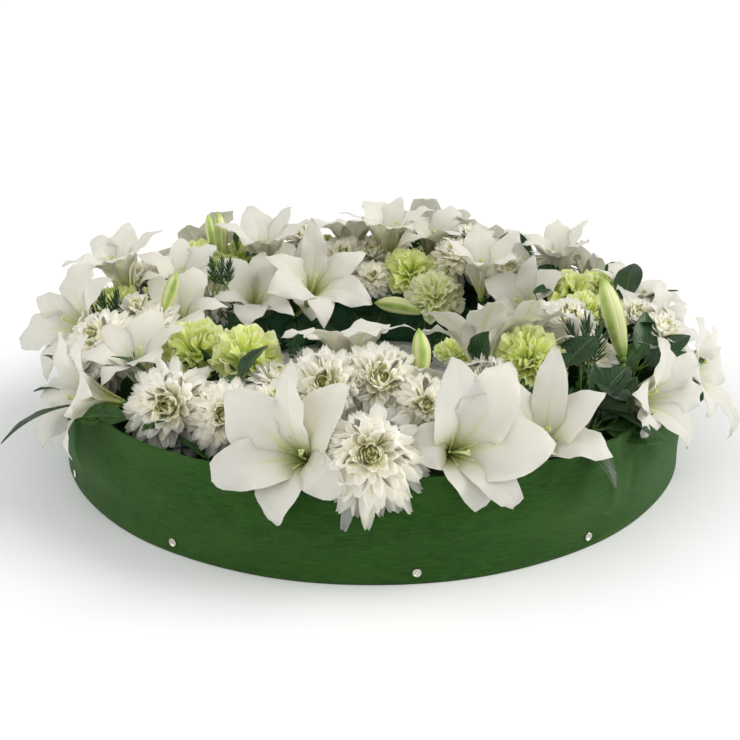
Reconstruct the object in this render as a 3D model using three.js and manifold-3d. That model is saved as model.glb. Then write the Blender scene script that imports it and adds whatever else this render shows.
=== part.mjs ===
// Funeral ring wreath: a flat polystyrene ring carries a ring of wet floral foam, a band of
// non-woven fabric is pinned round the base as a skirt, and cut stems of lily, chrysanthemum,
// carnation, lily bud and broad evergreen leaf are pushed into the foam so that their heads
// crowd the ring and leave the middle open.
//
// Millimetres, +Z up. The origin is the centre of the ring on the plane it rests on;
// -Y is the front of the wreath.
import * as THREE from 'three';
import { mergeVertices } from 'three/addons/utils/BufferGeometryUtils.js';
import Module from 'manifold-3d';

const wasm = await Module();
wasm.setup();

// ---------------------------------------------------------------- driving dimensions
const RING_SIDES = 48;        // facets round every ring piece
const BASE_OUTER_R = 330.4;   // polystyrene base ring
const BASE_INNER_R = 196;
const BASE_H = 25;
const FOAM_OUTER_R = 302;     // floral foam ring
const FOAM_INNER_R = 206;
const FOAM_TOP = 80;
const FOAM_SHOULDER = 17;     // chamfer of the foam's top edges
const SKIRT_R = 332;          // outside of the fabric band where it is pinned
const SKIRT_T = 0.8;
const SKIRT_BOTTOM = 0.6;
const SKIRT_TOP = 106;
const SKIRT_BULGE = 3.6;      // the band stands off most at mid height
const PIN_ANGLES = [-66, -33.7, 6.6, 37, 88, 139, 190, 241];   // degrees round from the front, unevenly pushed in
const PIN_Z = 12;
const PIN_HEAD_R = 4.2;
const PIN_SHANK_R = 0.75;
const PIN_SHANK_L = 11;
const GAP = 0.4;              // clearance kept between neighbouring pieces
const STEM_R = { lily: 3.4, mum: 2.3, carnation: 2.3, bud: 2.5, leaf: 1.5 };

// ---------------------------------------------------------------- the planting plan
// lily: name, throat, facing direction, turn of the first petal (degrees), petal reach, foot of stem
const LILY = [
  ['lily_01', [-57, -288, 102], [-0.3, -0.79, 0.54], -106, 72, [-63, -280, 56]],
  ['lily_02', [66, -286, 108], [0.25, -0.83, 0.5], -76, 72, [73, -278, 48]],
  ['lily_03', [152, -256, 88], [0.02, -0.56, 0.83], -90, 68, [158, -240, 55]],
  ['lily_04', [242, -166, 106], [0.66, -0.66, 0.36], -60, 62, [240, -159, 43]],
  ['lily_05', [294, -86, 99], [0.86, -0.42, 0.29], -60, 61, [279, -71, 52]],
  ['lily_06', [-245, -170, 106], [-0.84, -0.42, 0.34], -60, 66, [-237, -163, 51]],
  ['lily_07', [-293, 0, 110], [-0.61, -0.52, 0.6], -90, 66, [-286, 3, 48]],
  ['lily_08', [-272, 66, 132], [-0.26, -0.16, 0.95], -90, 62, [-271, 66, 52]],
  ['lily_09', [-76, 130, 102], [0.25, -0.58, 0.78], -90, 68, [-106, 212, 49]],
  ['lily_10', [-126, 176, 118], [-0.02, -0.16, 0.99], -60, 64, [-173, 140, 52]],
  ['lily_11', [19, 245, 117], [0.0, -0.03, 1.0], -60, 62, [18, 246, 51]],
  ['lily_12', [226, 160, 116], [-0.12, -0.14, 0.98], -90, 54, [222, 141, 50]],
  ['lily_13', [130, 139, 106], [-0.06, -0.16, 0.98], -90, 60, [148, 162, 56]],
  ['lily_14', [106, -152, 122], [-0.05, 0.62, 0.78], -90, 62, [125, -179, 47]],
  ['lily_15', [294, 22, 100], [0.66, -0.42, 0.62], -90, 50, [283, 13, 52]],
  ['lily_16', [-20, -172, 122], [-0.05, 0.3, 0.95], -90, 62, [-6, -224, 52]],
  ['lily_17', [-190, 205, 105], [-0.44, 0.68, 0.58], -90, 66, [-187, 207, 51]],
  ['lily_18', [70, 289, 103], [0.15, 0.85, 0.5], -90, 66, [71, 276, 46]],
];
// chrysanthemum: name, centre of the face, facing direction, radius, foot of stem
const MUM = [
  ['mum_01', [-186, -226, 128], [-0.16, -0.9, 0.4], 45, [-183, -203, 55]],
  ['mum_02', [-132, -246, 126], [-0.1, -0.88, 0.47], 38, [-127, -227, 49]],
  ['mum_03', [-2, -330, 131], [0.0, -0.94, 0.34], 46, [1, -276, 54]],
  ['mum_04', [-42, -236, 150], [-0.1, -0.78, 0.62], 42, [-40, -223, 52]],
  ['mum_05', [6, -228, 152], [0.1, -0.74, 0.67], 42, [3, -219, 55]],
  ['mum_06', [107, -208, 141], [0.1, -0.69, 0.72], 32, [108, -206, 45]],
  ['mum_07', [163, 163, 127], [0.1, -0.51, 0.86], 32, [163, 169, 55]],
  ['mum_08', [205, -37, 140], [0.2, -0.5, 0.84], 32, [216, -34, 46]],
  ['mum_09', [281, -3, 132], [0.39, -0.54, 0.75], 30, [276, -4, 50]],
  ['mum_10', [-276, -78, 130], [-0.39, -0.54, 0.75], 45, [-270, -73, 46]],
  ['mum_11', [-1, 240, 126], [0.0, -0.51, 0.86], 30, [-2, 247, 44]],
  ['mum_12', [-95, 275, 105], [-0.2, 0.78, 0.59], 34, [-93, 267, 49]],
  ['mum_13', [190, 225, 105], [0.48, 0.67, 0.57], 34, [184, 218, 53]],
];
// second, smaller head on the same spray stem
const MUM_SIDE_HEAD = { mum_05: [[46, -256, 142], [0.1, -0.88, 0.47], 30] };
// carnation: name, centre of the face, facing direction, radius, foot of stem
const CARNATION = [
  ['carnation_01', [-179, -136, 150], [-0.2, -0.68, 0.71], 31, [-180, -123, 44]],
  ['carnation_02', [-120, -165, 157], [0.1, -0.6, 0.79], 31, [-144, -164, 54]],
  ['carnation_03', [-287, 39, 132], [-0.3, -0.55, 0.77], 29, [-280, 55, 48]],
  ['carnation_04', [-212, 154, 154], [-0.2, -0.38, 0.9], 28, [-205, 167, 47]],
  ['carnation_05', [47, 195, 128], [0.0, -0.51, 0.86], 31, [48, 218, 53]],
  ['carnation_06', [76, 147, 112], [0.05, -0.6, 0.8], 30, [87, 212, 43]],
  ['carnation_07', [229, 64, 141], [0.21, -0.57, 0.8], 28, [223, 79, 48]],
  ['carnation_08', [155, -149, 150], [0.1, -0.6, 0.79], 32, [166, -142, 49]],
];
// lily bud: name, base, tip, greatest radius, foot of stem
const BUD = [
  ['lily_bud_01', [-188, 174, 141], [-197, 195, 191], 8, [-185, 173, 50]],
  ['lily_bud_02', [61, 138, 88], [3, 142, 98], 10, [104, 200, 44]],
  ['lily_bud_03', [44, -200, 140], [43, -182, 187], 9, [49, -213, 43]],
  ['lily_bud_04', [253, -101, 125], [232, -69, 200], 11, [253, -103, 51]],
  ['lily_bud_05', [-224, -6, 140], [-210, 10, 179], 8, [-224, -7, 50]],
];
// leafy spray: name, fork of the twig, foot of stem, leaves [base, tip, width]
const LEAF_SPRAY = [
  ['leaf_spray_01', [-276, -140, 104], [-262, -118, 55],
    [[[-284, -189, 112], [-348, -232, 93], 26], [[-298, -134, 120], [-332, -108, 132], 20], [[-294, -166, 114], [-334, -150, 110], 18]]],
  ['leaf_spray_02', [-150, -205, 110], [-158, -198, 52],
    [[[-123, -214, 150], [-100, -180, 170], 24], [[-144, -229, 140], [-127, -204, 150], 18], [[-216, -179, 140], [-252, -162, 152], 18]]],
  ['leaf_spray_03', [196, -206, 98], [194, -200, 50],
    [[[206, -206, 116], [262, -240, 100], 34], [[190, -262, 110], [216, -300, 78], 26], [[214, -204, 124], [246, -164, 142], 26]]],
  ['leaf_spray_04', [270, 44, 110], [262, 42, 52],
    [[[276, 24, 140], [298, 80, 168], 32], [[300, 56, 128], [344, 66, 140], 22], [[262, -40, 122], [292, -64, 150], 26]]],
  ['leaf_spray_05', [132, 206, 100], [128, 212, 50],
    [[[144, 190, 132], [165, 206, 168], 26], [[188, 190, 134], [178, 196, 168], 16], [[118, 214, 132], [110, 206, 162], 22]]],
];

// ---------------------------------------------------------------- colours
const SLOT = {
  polystyrene: { color: 0xe9e7e0, roughness: 0.85, metalness: 0 },
  floral_foam: { color: 0x2f5a34, roughness: 0.95, metalness: 0 },
  skirt_fabric: { color: 0x2c5a26, roughness: 0.9, metalness: 0 },
  pin_metal: { color: 0xc8c4b8, roughness: 0.3, metalness: 1 },
  lily_petal: { color: 0xf1ede2, roughness: 0.55, metalness: 0 },
  mum_petal: { color: 0xf3f1e6, roughness: 0.6, metalness: 0 },
  carnation_petal: { color: 0xcfdc7a, roughness: 0.65, metalness: 0 },
  lily_bud: { color: 0xa9bf62, roughness: 0.5, metalness: 0 },
  leaf: { color: 0x1c3a14, roughness: 0.35, metalness: 0 },
};
const material = (slot) => new THREE.MeshStandardMaterial({ name: slot, ...SLOT[slot] });

// ---------------------------------------------------------------- solids
const V = (a) => new THREE.Vector3(a[0], a[1], a[2]);
const UP_HINT = new THREE.Vector3(0, Math.sin(THREE.MathUtils.degToRad(22.4)), Math.cos(THREE.MathUtils.degToRad(22.4)));

function signedVolume(g) {
  const p = g.attributes.position, q = g.index.array;
  let v = 0;
  for (let i = 0; i < q.length; i += 3) {
    const [a, b, c] = [q[i], q[i + 1], q[i + 2]].map((k) => new THREE.Vector3().fromBufferAttribute(p, k));
    v += a.dot(b.cross(c)) / 6;
  }
  return v;
}

// A closed solid from a three.js shape, faces pointing out whichever way its profile ran.
function solid(geometry) {
  geometry.deleteAttribute('normal');
  geometry.deleteAttribute('uv');
  const g = mergeVertices(geometry, 1e-4);
  if (signedVolume(g) < 0) g.index.array.reverse();
  return new wasm.Manifold(new wasm.Mesh({
    numProp: 3,
    vertProperties: new Float32Array(g.attributes.position.array),
    triVerts: new Uint32Array(g.index.array),
  }));
}

function largestBody(m) {
  const parts = m.decompose();
  return parts.reduce((a, b) => (b.volume() > a.volume() ? b : a));
}

// A frame whose z looks along `dir`, turned by `spin` degrees from the upward hint.
function facing(origin, dir, spin = 0) {
  const z = V(dir).normalize();
  const y = UP_HINT.clone().addScaledVector(z, -UP_HINT.dot(z)).normalize();
  const x = new THREE.Vector3().crossVectors(y, z);
  const m = new THREE.Matrix4().makeBasis(x, y, z);
  m.multiply(new THREE.Matrix4().makeRotationZ(THREE.MathUtils.degToRad(spin)));
  m.setPosition(V(origin));
  return m;
}

// Lathe about z from [radius, height] pairs; `shape` may move each vertex by its step round the axis.
function turned(profile, sides, shape) {
  const g = new THREE.LatheGeometry(profile.map((p) => new THREE.Vector2(p[0], p[1])), sides);
  g.rotateX(Math.PI / 2);
  const p = g.attributes.position;
  const n = profile.length;
  for (let i = 0; i < p.count; i += 1) {
    const step = Math.floor(i / n) % sides;
    const r = Math.hypot(p.getX(i), p.getY(i));
    // the lathe turns its profile from +z round to +x, so after the tilt step k lies at this angle
    const a = (step / sides) * 2 * Math.PI;
    const q = shape ? shape(step, r, p.getZ(i), i % n, a) : [r, p.getZ(i)];
    p.setXYZ(i, q[0] * Math.cos(a), q[0] * Math.sin(a), q[1]);
  }
  return g;
}

function ring(profile, sides, shape) {
  return solid(turned([...profile, profile[0]], sides, shape));
}

function rod(from, to, r, sides = 6) {
  const a = V(from), b = V(to);
  const g = new THREE.CylinderGeometry(r, r, a.distanceTo(b), sides);
  const q = new THREE.Quaternion().setFromUnitVectors(new THREE.Vector3(0, 1, 0), b.clone().sub(a).normalize());
  g.applyQuaternion(q);
  g.translate((a.x + b.x) / 2, (a.y + b.y) / 2, (a.z + b.z) / 2);
  return solid(g);
}

function along(p, d, t) {
  return V(p).addScaledVector(V(d).normalize(), t).toArray();
}

// Stem from the back of a head down into the foam; `grow` widens it for the socket round it.
function stem(from, to, r, grow = 0) {
  const d = V(to).sub(V(from)).normalize().toArray();
  return rod(from, along(to, d, grow), r + grow, r > 3 ? 6 : 5);
}

// Lily: six pointed petals flaring out of a trumpet.
function lilyHead([, throat, dir, turn, reach], grow = 0) {
  const R = reach, g = grow;
  const profile = [[0, -5 - g], [7 + g, 2], [19 + g, 31], [0.62 * R + g, 46 - g], [R + g, 44 - g],
    [R + g, 46 + g], [0.6 * R, 51 + g], [18, 37 + g], [0, 14 + g]];
  const geo = turned(profile, 12, (step, r, z, k) => {
    const notch = step % 2 === 1;
    if (k === 4 || k === 5) return [notch ? r * 0.56 : r, notch ? z + 3 : z - 3];
    if (k === 3 || k === 6) return [notch ? r * 0.84 : r, z];
    return [r, z];
  });
  geo.applyMatrix4(facing(throat, dir, turn));
  return solid(geo);
}

// Chrysanthemum: a low dome of petals with a scalloped edge.
function mumHead(centre, dir, R, grow = 0) {
  const g = grow;
  const profile = [[0, -17 - g], [0.66 * R + g, -10 - g], [R + g, -3], [0.86 * R + g, 8 + g], [0.45 * R, 13 + g], [0, 12 + g]];
  const geo = turned(profile, 12, (step, r, z, k) => ((k === 2) ? [step % 2 ? r * 0.9 : r, z] : [r, z]));
  geo.applyMatrix4(facing(centre, dir, 15));
  return solid(geo);
}

// Carnation: a ruffled ball standing in a narrow calyx.
function carnationHead([, centre, dir, R], grow = 0) {
  const g = grow;
  const profile = [[0, -38 - g], [5 + g, -36 - g], [7 + g, -20], [0.74 * R + g, -9 - g], [R + g, 0], [0.8 * R + g, 11 + g], [0.35 * R, 15 + g], [0, 13 + g]];
  const geo = turned(profile, 10, (step, r, z, k) => ((k === 4) ? [step % 2 ? r * 0.9 : r, z + (step % 2 ? 3 : -1)] : [r, z]));
  geo.applyMatrix4(facing(centre, dir, 0));
  return solid(geo);
}

// Closed lily bud: a six-sided spindle.
function budHead([, base, tip, R], grow = 0) {
  const d = V(tip).sub(V(base));
  const L = d.length();
  const g = grow;
  const profile = [[0, -3 - g], [0.45 * R + g, 0], [0.85 * R + g, 0.22 * L], [R + g, 0.5 * L], [0.62 * R + g, 0.8 * L], [0, L + g]];
  const geo = turned(profile, 6, null);
  geo.applyMatrix4(facing(base, d.toArray(), 0));
  return solid(geo);
}

// Broad leaf: a pointed blade, slightly thick.
function leafBlade([base, tip, width], grow = 0) {
  const a = V(base), b = V(tip);
  const L = a.distanceTo(b), w = width / 2 + grow, t = 1.3 + 2 * grow;
  const s = new THREE.Shape([[-2 - grow, -1.2], [0.22 * L, -w * 0.82], [0.5 * L, -w], [0.8 * L, -w * 0.6], [L + grow, 0],
    [0.8 * L, w * 0.6], [0.5 * L, w], [0.22 * L, w * 0.82], [-2 - grow, 1.2]].map((p) => new THREE.Vector2(...p)));
  const g = new THREE.ExtrudeGeometry(s, { depth: t, bevelEnabled: false });
  g.translate(0, 0, -t / 2);
  const x = b.clone().sub(a).normalize();
  const y = new THREE.Vector3().crossVectors(UP_HINT, x).normalize();
  const z = new THREE.Vector3().crossVectors(x, y);
  g.applyMatrix4(new THREE.Matrix4().makeBasis(x, y, z).setPosition(a));
  return solid(g);
}

// ---------------------------------------------------------------- ring pieces
const foamProfile = (g) => [
  [FOAM_INNER_R - g, BASE_H + GAP - g], [FOAM_OUTER_R + g, BASE_H + GAP - g],
  [FOAM_OUTER_R + g, FOAM_TOP - FOAM_SHOULDER + g * 0.6], [FOAM_OUTER_R - FOAM_SHOULDER + g * 0.6, FOAM_TOP + g],
  [FOAM_INNER_R + FOAM_SHOULDER - g * 0.6, FOAM_TOP + g], [FOAM_INNER_R - g, FOAM_TOP - FOAM_SHOULDER + g * 0.6],
];
const baseProfile = [[BASE_INNER_R, 0], [BASE_OUTER_R, 0], [BASE_OUTER_R, BASE_H], [BASE_INNER_R, BASE_H]];

// The skirt is tight where it is pinned and stands in soft waves above.
const skirtOut = (g) => [[SKIRT_R - SKIRT_T - g, SKIRT_BOTTOM - g], [SKIRT_R + g, SKIRT_BOTTOM - g], [SKIRT_R + g, BASE_H], [SKIRT_R + g, 62],
  [SKIRT_R + g, SKIRT_TOP + g], [SKIRT_R - SKIRT_T - g, SKIRT_TOP + g], [SKIRT_R - SKIRT_T - g, 62], [SKIRT_R - SKIRT_T - g, BASE_H]];
function skirtShape(step, r, z, k, a) {
  if (z > 50 && z < 80) return [r + SKIRT_BULGE + 1.2 * Math.sin(7 * a + 1.3), z];
  if (z > 80) return [r + 1.6 * Math.sin(5 * a + 0.4) + 1.0 * Math.sin(11 * a), z + 1.4 * Math.sin(3 * a + 2) * 0.5];
  return [r, z];
}

function pin(deg, grow = 0) {
  // domed head on a thin shank
  const head = solid(turned([[0, -PIN_SHANK_L - grow], [PIN_SHANK_R + grow, -PIN_SHANK_L + 1.5], [PIN_SHANK_R + grow, GAP - grow],
    [PIN_HEAD_R + grow, GAP - grow], [PIN_HEAD_R * 0.7, GAP + 1.7 + grow], [0, GAP + 2.4 + grow]], 8, null));
  const a = THREE.MathUtils.degToRad(deg);
  const out = [Math.sin(a), -Math.cos(a), 0];
  // seat the head on the facet it is pushed through
  const r = SKIRT_R;
  return head.transform(facing([out[0] * r, out[1] * r, PIN_Z], out, 0).toArray());
}

// ---------------------------------------------------------------- assemble
const wreath = new THREE.Group();
wreath.name = 'funeral_wreath';

function add(name, body, slot) {
  const m = body.getMesh();
  const g = new THREE.BufferGeometry();
  g.setAttribute('position', new THREE.BufferAttribute(new Float32Array(m.vertProperties), 3));
  g.setIndex(new THREE.BufferAttribute(new Uint32Array(m.triVerts), 1));
  g.computeVertexNormals();
  const mesh = new THREE.Mesh(g, material(slot));
  mesh.name = name;
  wreath.add(mesh);
}

const pins = [];
for (let i = 0; i < PIN_ANGLES.length; i += 1) {
  const deg = PIN_ANGLES[i];
  pins.push({ name: `skirt_pin_${i + 1}`, body: pin(deg), cut: pin(deg, GAP) });
}
let base = ring(baseProfile, RING_SIDES, null);
let skirt = ring(skirtOut(0), RING_SIDES, skirtShape);
const skirtGrown = ring(skirtOut(0.7), RING_SIDES, skirtShape);
for (const p of pins) {
  base = base.subtract(p.cut);
  skirt = skirt.subtract(p.cut);
}

// Every stemmed piece in order of precedence: a later head is pressed aside by earlier ones.
const pieces = [];
for (const f of LILY) {
  pieces.push({ name: f[0], slot: 'lily_petal', head: (g) => lilyHead(f, g),
    stem: (g) => stem(f[1], f[5], STEM_R.lily, g) });
}
for (const f of MUM) {
  const side = MUM_SIDE_HEAD[f[0]];
  pieces.push({ name: f[0], slot: 'mum_petal',
    head: (g) => (side ? mumHead(f[1], f[2], f[3], g).add(mumHead(side[0], side[1], side[2], g)) : mumHead(f[1], f[2], f[3], g)),
    stem: (g) => {
      const main = stem(along(f[1], f[2], -13), f[4], STEM_R.mum, g);
      if (!side) return main;
      const fork = V(f[4]).lerp(V(f[1]), 0.35).toArray();
      return main.add(rod(along(side[0], side[1], -13), fork, STEM_R.mum * 0.8 + g, 5));
    } });
}
for (const f of CARNATION) {
  pieces.push({ name: f[0], slot: 'carnation_petal', head: (g) => carnationHead(f, g),
    stem: (g) => stem(along(f[1], f[2], -33), f[4], STEM_R.carnation, g) });
}
for (const f of BUD) {
  pieces.push({ name: f[0], slot: 'lily_bud', head: (g) => budHead(f, g),
    stem: (g) => stem(f[1], f[4], STEM_R.bud, g) });
}
for (const f of LEAF_SPRAY) {
  pieces.push({ name: f[0], slot: 'leaf',
    head: (g) => f[3].map((leaf) => leafBlade(leaf, g)).reduce((a, b) => a.add(b)),
    stem: (g) => f[3].reduce((m, leaf) => m.add(rod(f[1], leaf[0], STEM_R.leaf + g, 4)), stem(f[1], f[2], STEM_R.leaf + 0.4, g)) });
}

const touching = (a, b) => {
  const p = a.boundingBox(), q = b.boundingBox();
  return [0, 1, 2].every((i) => p.min[i] < q.max[i] && q.min[i] < p.max[i]);
};
const foamGrown = ring(foamProfile(GAP), RING_SIDES, null);
let foam = ring(foamProfile(0), RING_SIDES, null);
for (const p of pieces) {
  p.stemBody = p.stem(0);
  p.stemGrown = p.stem(GAP);
  p.headGrown = p.head(GAP);
}
for (let j = 0; j < pieces.length; j += 1) {
  const p = pieces[j];
  let head = p.head(0).subtract(foamGrown);
  if (touching(head, skirtGrown)) head = head.subtract(skirtGrown);
  let stemBody = p.stemBody;
  for (let i = 0; i < pieces.length; i += 1) {
    const o = pieces[i];
    if (i !== j && touching(head, o.stemGrown)) head = head.subtract(o.stemGrown);
    if (i < j && touching(head, o.headGrown)) head = head.subtract(o.headGrown);
    if (i < j && touching(stemBody, o.stemGrown)) stemBody = stemBody.subtract(o.stemGrown);
  }
  if (touching(foam, p.stemGrown)) foam = foam.subtract(p.stemGrown);
  p.body = largestBody(head.add(stemBody));
}

add('backing_ring', base, 'polystyrene');
add('foam_ring', largestBody(foam), 'floral_foam');
add('skirt', skirt, 'skirt_fabric');
for (const p of pins) add(p.name, p.body, 'pin_metal');
for (const p of pieces) add(p.name, p.body, p.slot);

export default wreath;
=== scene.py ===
import math
import bpy
import numpy as np
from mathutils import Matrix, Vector


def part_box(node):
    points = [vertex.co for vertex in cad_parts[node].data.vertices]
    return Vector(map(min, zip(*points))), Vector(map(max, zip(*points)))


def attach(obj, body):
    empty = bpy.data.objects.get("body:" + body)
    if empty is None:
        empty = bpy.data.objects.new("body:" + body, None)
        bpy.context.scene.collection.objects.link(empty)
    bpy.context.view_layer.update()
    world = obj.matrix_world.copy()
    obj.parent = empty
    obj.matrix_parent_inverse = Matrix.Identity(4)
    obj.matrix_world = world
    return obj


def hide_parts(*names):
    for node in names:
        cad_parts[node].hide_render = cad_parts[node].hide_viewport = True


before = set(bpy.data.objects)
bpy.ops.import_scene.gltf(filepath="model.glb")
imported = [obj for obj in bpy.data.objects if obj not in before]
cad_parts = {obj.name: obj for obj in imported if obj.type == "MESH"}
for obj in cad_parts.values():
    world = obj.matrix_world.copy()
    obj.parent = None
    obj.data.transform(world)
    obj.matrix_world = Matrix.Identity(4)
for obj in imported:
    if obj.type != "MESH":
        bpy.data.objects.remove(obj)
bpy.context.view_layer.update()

MM = 0.001
scene = bpy.context.scene

# ------------------------------------------------------------------ planting plan, as in the CAD (mm)
LILY = [
    ("lily_01", (-57, -288, 102), (-0.3, -0.79, 0.54), -106, 72, (-63, -280, 56)),
    ("lily_02", (66, -286, 108), (0.25, -0.83, 0.5), -76, 72, (73, -278, 48)),
    ("lily_03", (152, -256, 88), (0.02, -0.56, 0.83), -90, 68, (158, -240, 55)),
    ("lily_04", (242, -166, 106), (0.66, -0.66, 0.36), -60, 62, (240, -159, 43)),
    ("lily_05", (294, -86, 99), (0.86, -0.42, 0.29), -60, 61, (279, -71, 52)),
    ("lily_06", (-245, -170, 106), (-0.84, -0.42, 0.34), -60, 66, (-237, -163, 51)),
    ("lily_07", (-293, 0, 110), (-0.61, -0.52, 0.6), -90, 66, (-286, 3, 48)),
    ("lily_08", (-272, 66, 132), (-0.26, -0.16, 0.95), -90, 62, (-271, 66, 52)),
    ("lily_09", (-76, 130, 102), (0.25, -0.58, 0.78), -90, 68, (-106, 212, 49)),
    ("lily_10", (-126, 176, 118), (-0.02, -0.16, 0.99), -60, 64, (-173, 140, 52)),
    ("lily_11", (19, 245, 117), (0.0, -0.03, 1.0), -60, 62, (18, 246, 51)),
    ("lily_12", (226, 160, 116), (-0.12, -0.14, 0.98), -90, 54, (222, 141, 50)),
    ("lily_13", (130, 139, 106), (-0.06, -0.16, 0.98), -90, 60, (148, 162, 56)),
    ("lily_14", (106, -152, 122), (-0.05, 0.62, 0.78), -90, 62, (125, -179, 47)),
    ("lily_15", (294, 22, 100), (0.66, -0.42, 0.62), -90, 50, (283, 13, 52)),
    ("lily_16", (-20, -172, 122), (-0.05, 0.30, 0.95), -90, 62, (-6, -224, 52)),
    ("lily_17", (-190, 205, 105), (-0.44, 0.68, 0.58), -90, 66, (-187, 207, 51)),
    ("lily_18", (70, 289, 103), (0.15, 0.85, 0.5), -90, 66, (71, 276, 46)),
]
MUM = [
    ("mum_01", (-186, -226, 128), (-0.16, -0.90, 0.40), 45, (-183, -203, 55)),
    ("mum_02", (-132, -246, 126), (-0.1, -0.88, 0.47), 38, (-127, -227, 49)),
    ("mum_03", (-2, -330, 131), (0.0, -0.94, 0.34), 46, (1, -276, 54)),
    ("mum_04", (-42, -236, 150), (-0.1, -0.78, 0.62), 42, (-40, -223, 52)),
    ("mum_05", (6, -228, 152), (0.1, -0.74, 0.67), 42, (3, -219, 55)),
    ("mum_06", (107, -208, 141), (0.1, -0.69, 0.72), 32, (108, -206, 45)),
    ("mum_07", (163, 163, 127), (0.1, -0.51, 0.86), 32, (163, 169, 55)),
    ("mum_08", (205, -37, 140), (0.2, -0.5, 0.84), 32, (216, -34, 46)),
    ("mum_09", (281, -3, 132), (0.39, -0.54, 0.75), 30, (276, -4, 50)),
    ("mum_10", (-276, -78, 130), (-0.39, -0.54, 0.75), 45, (-270, -73, 46)),
    ("mum_11", (-1, 240, 126), (0.0, -0.51, 0.86), 30, (-2, 247, 44)),
    ("mum_12", (-95, 275, 105), (-0.2, 0.78, 0.59), 34, (-93, 267, 49)),
    ("mum_13", (190, 225, 105), (0.48, 0.67, 0.57), 34, (184, 218, 53)),
]
MUM_SIDE = {"mum_05": ((46, -256, 142), (0.1, -0.88, 0.47), 30)}
CARNATION = [
    ("carnation_01", (-179, -136, 150), (-0.2, -0.68, 0.71), 31, (-180, -123, 44)),
    ("carnation_02", (-120, -165, 157), (0.1, -0.6, 0.79), 31, (-144, -164, 54)),
    ("carnation_03", (-287, 39, 132), (-0.3, -0.55, 0.77), 29, (-280, 55, 48)),
    ("carnation_04", (-212, 154, 154), (-0.2, -0.38, 0.9), 28, (-205, 167, 47)),
    ("carnation_05", (47, 195, 128), (0.0, -0.51, 0.86), 31, (48, 218, 53)),
    ("carnation_06", (76, 147, 112), (0.05, -0.6, 0.8), 30, (87, 212, 43)),
    ("carnation_07", (229, 64, 141), (0.21, -0.57, 0.8), 28, (223, 79, 48)),
    ("carnation_08", (155, -149, 150), (0.1, -0.6, 0.79), 32, (166, -142, 49)),
]
BUD = [
    ("lily_bud_01", (-188, 174, 141), (-197, 195, 191), 8, (-185, 173, 50)),
    ("lily_bud_02", (61, 138, 88), (3, 142, 98), 10, (104, 200, 44)),
    ("lily_bud_03", (44, -200, 140), (43, -182, 187), 9, (49, -213, 43)),
    ("lily_bud_04", (253, -101, 125), (232, -69, 200), 11, (253, -103, 51)),
    ("lily_bud_05", (-224, -6, 140), (-210, 10, 179), 8, (-224, -7, 50)),
]
LEAF_SPRAY = [
    ("leaf_spray_01", (-276, -140, 104), (-262, -118, 55),
     [((-284, -189, 112), (-348, -232, 93), 26), ((-298, -134, 120), (-332, -108, 132), 20), ((-294, -166, 114), (-334, -150, 110), 18)]),
    ("leaf_spray_02", (-150, -205, 110), (-158, -198, 52),
     [((-123, -214, 150), (-100, -180, 170), 24), ((-144, -229, 140), (-127, -204, 150), 18), ((-216, -179, 140), (-252, -162, 152), 18)]),
    ("leaf_spray_03", (196, -206, 98), (194, -200, 50),
     [((206, -206, 116), (262, -240, 100), 34), ((190, -262, 110), (216, -300, 78), 26), ((214, -204, 124), (246, -164, 142), 26)]),
    ("leaf_spray_04", (270, 44, 110), (262, 42, 52),
     [((276, 24, 140), (298, 80, 168), 32), ((300, 56, 128), (344, 66, 140), 22), ((262, -40, 122), (292, -64, 150), 26)]),
    ("leaf_spray_05", (132, 206, 100), (128, 212, 50),
     [((144, 190, 132), (165, 206, 168), 26), ((188, 190, 134), (178, 196, 168), 16), ((118, 214, 132), (110, 206, 162), 22)]),
]

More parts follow.
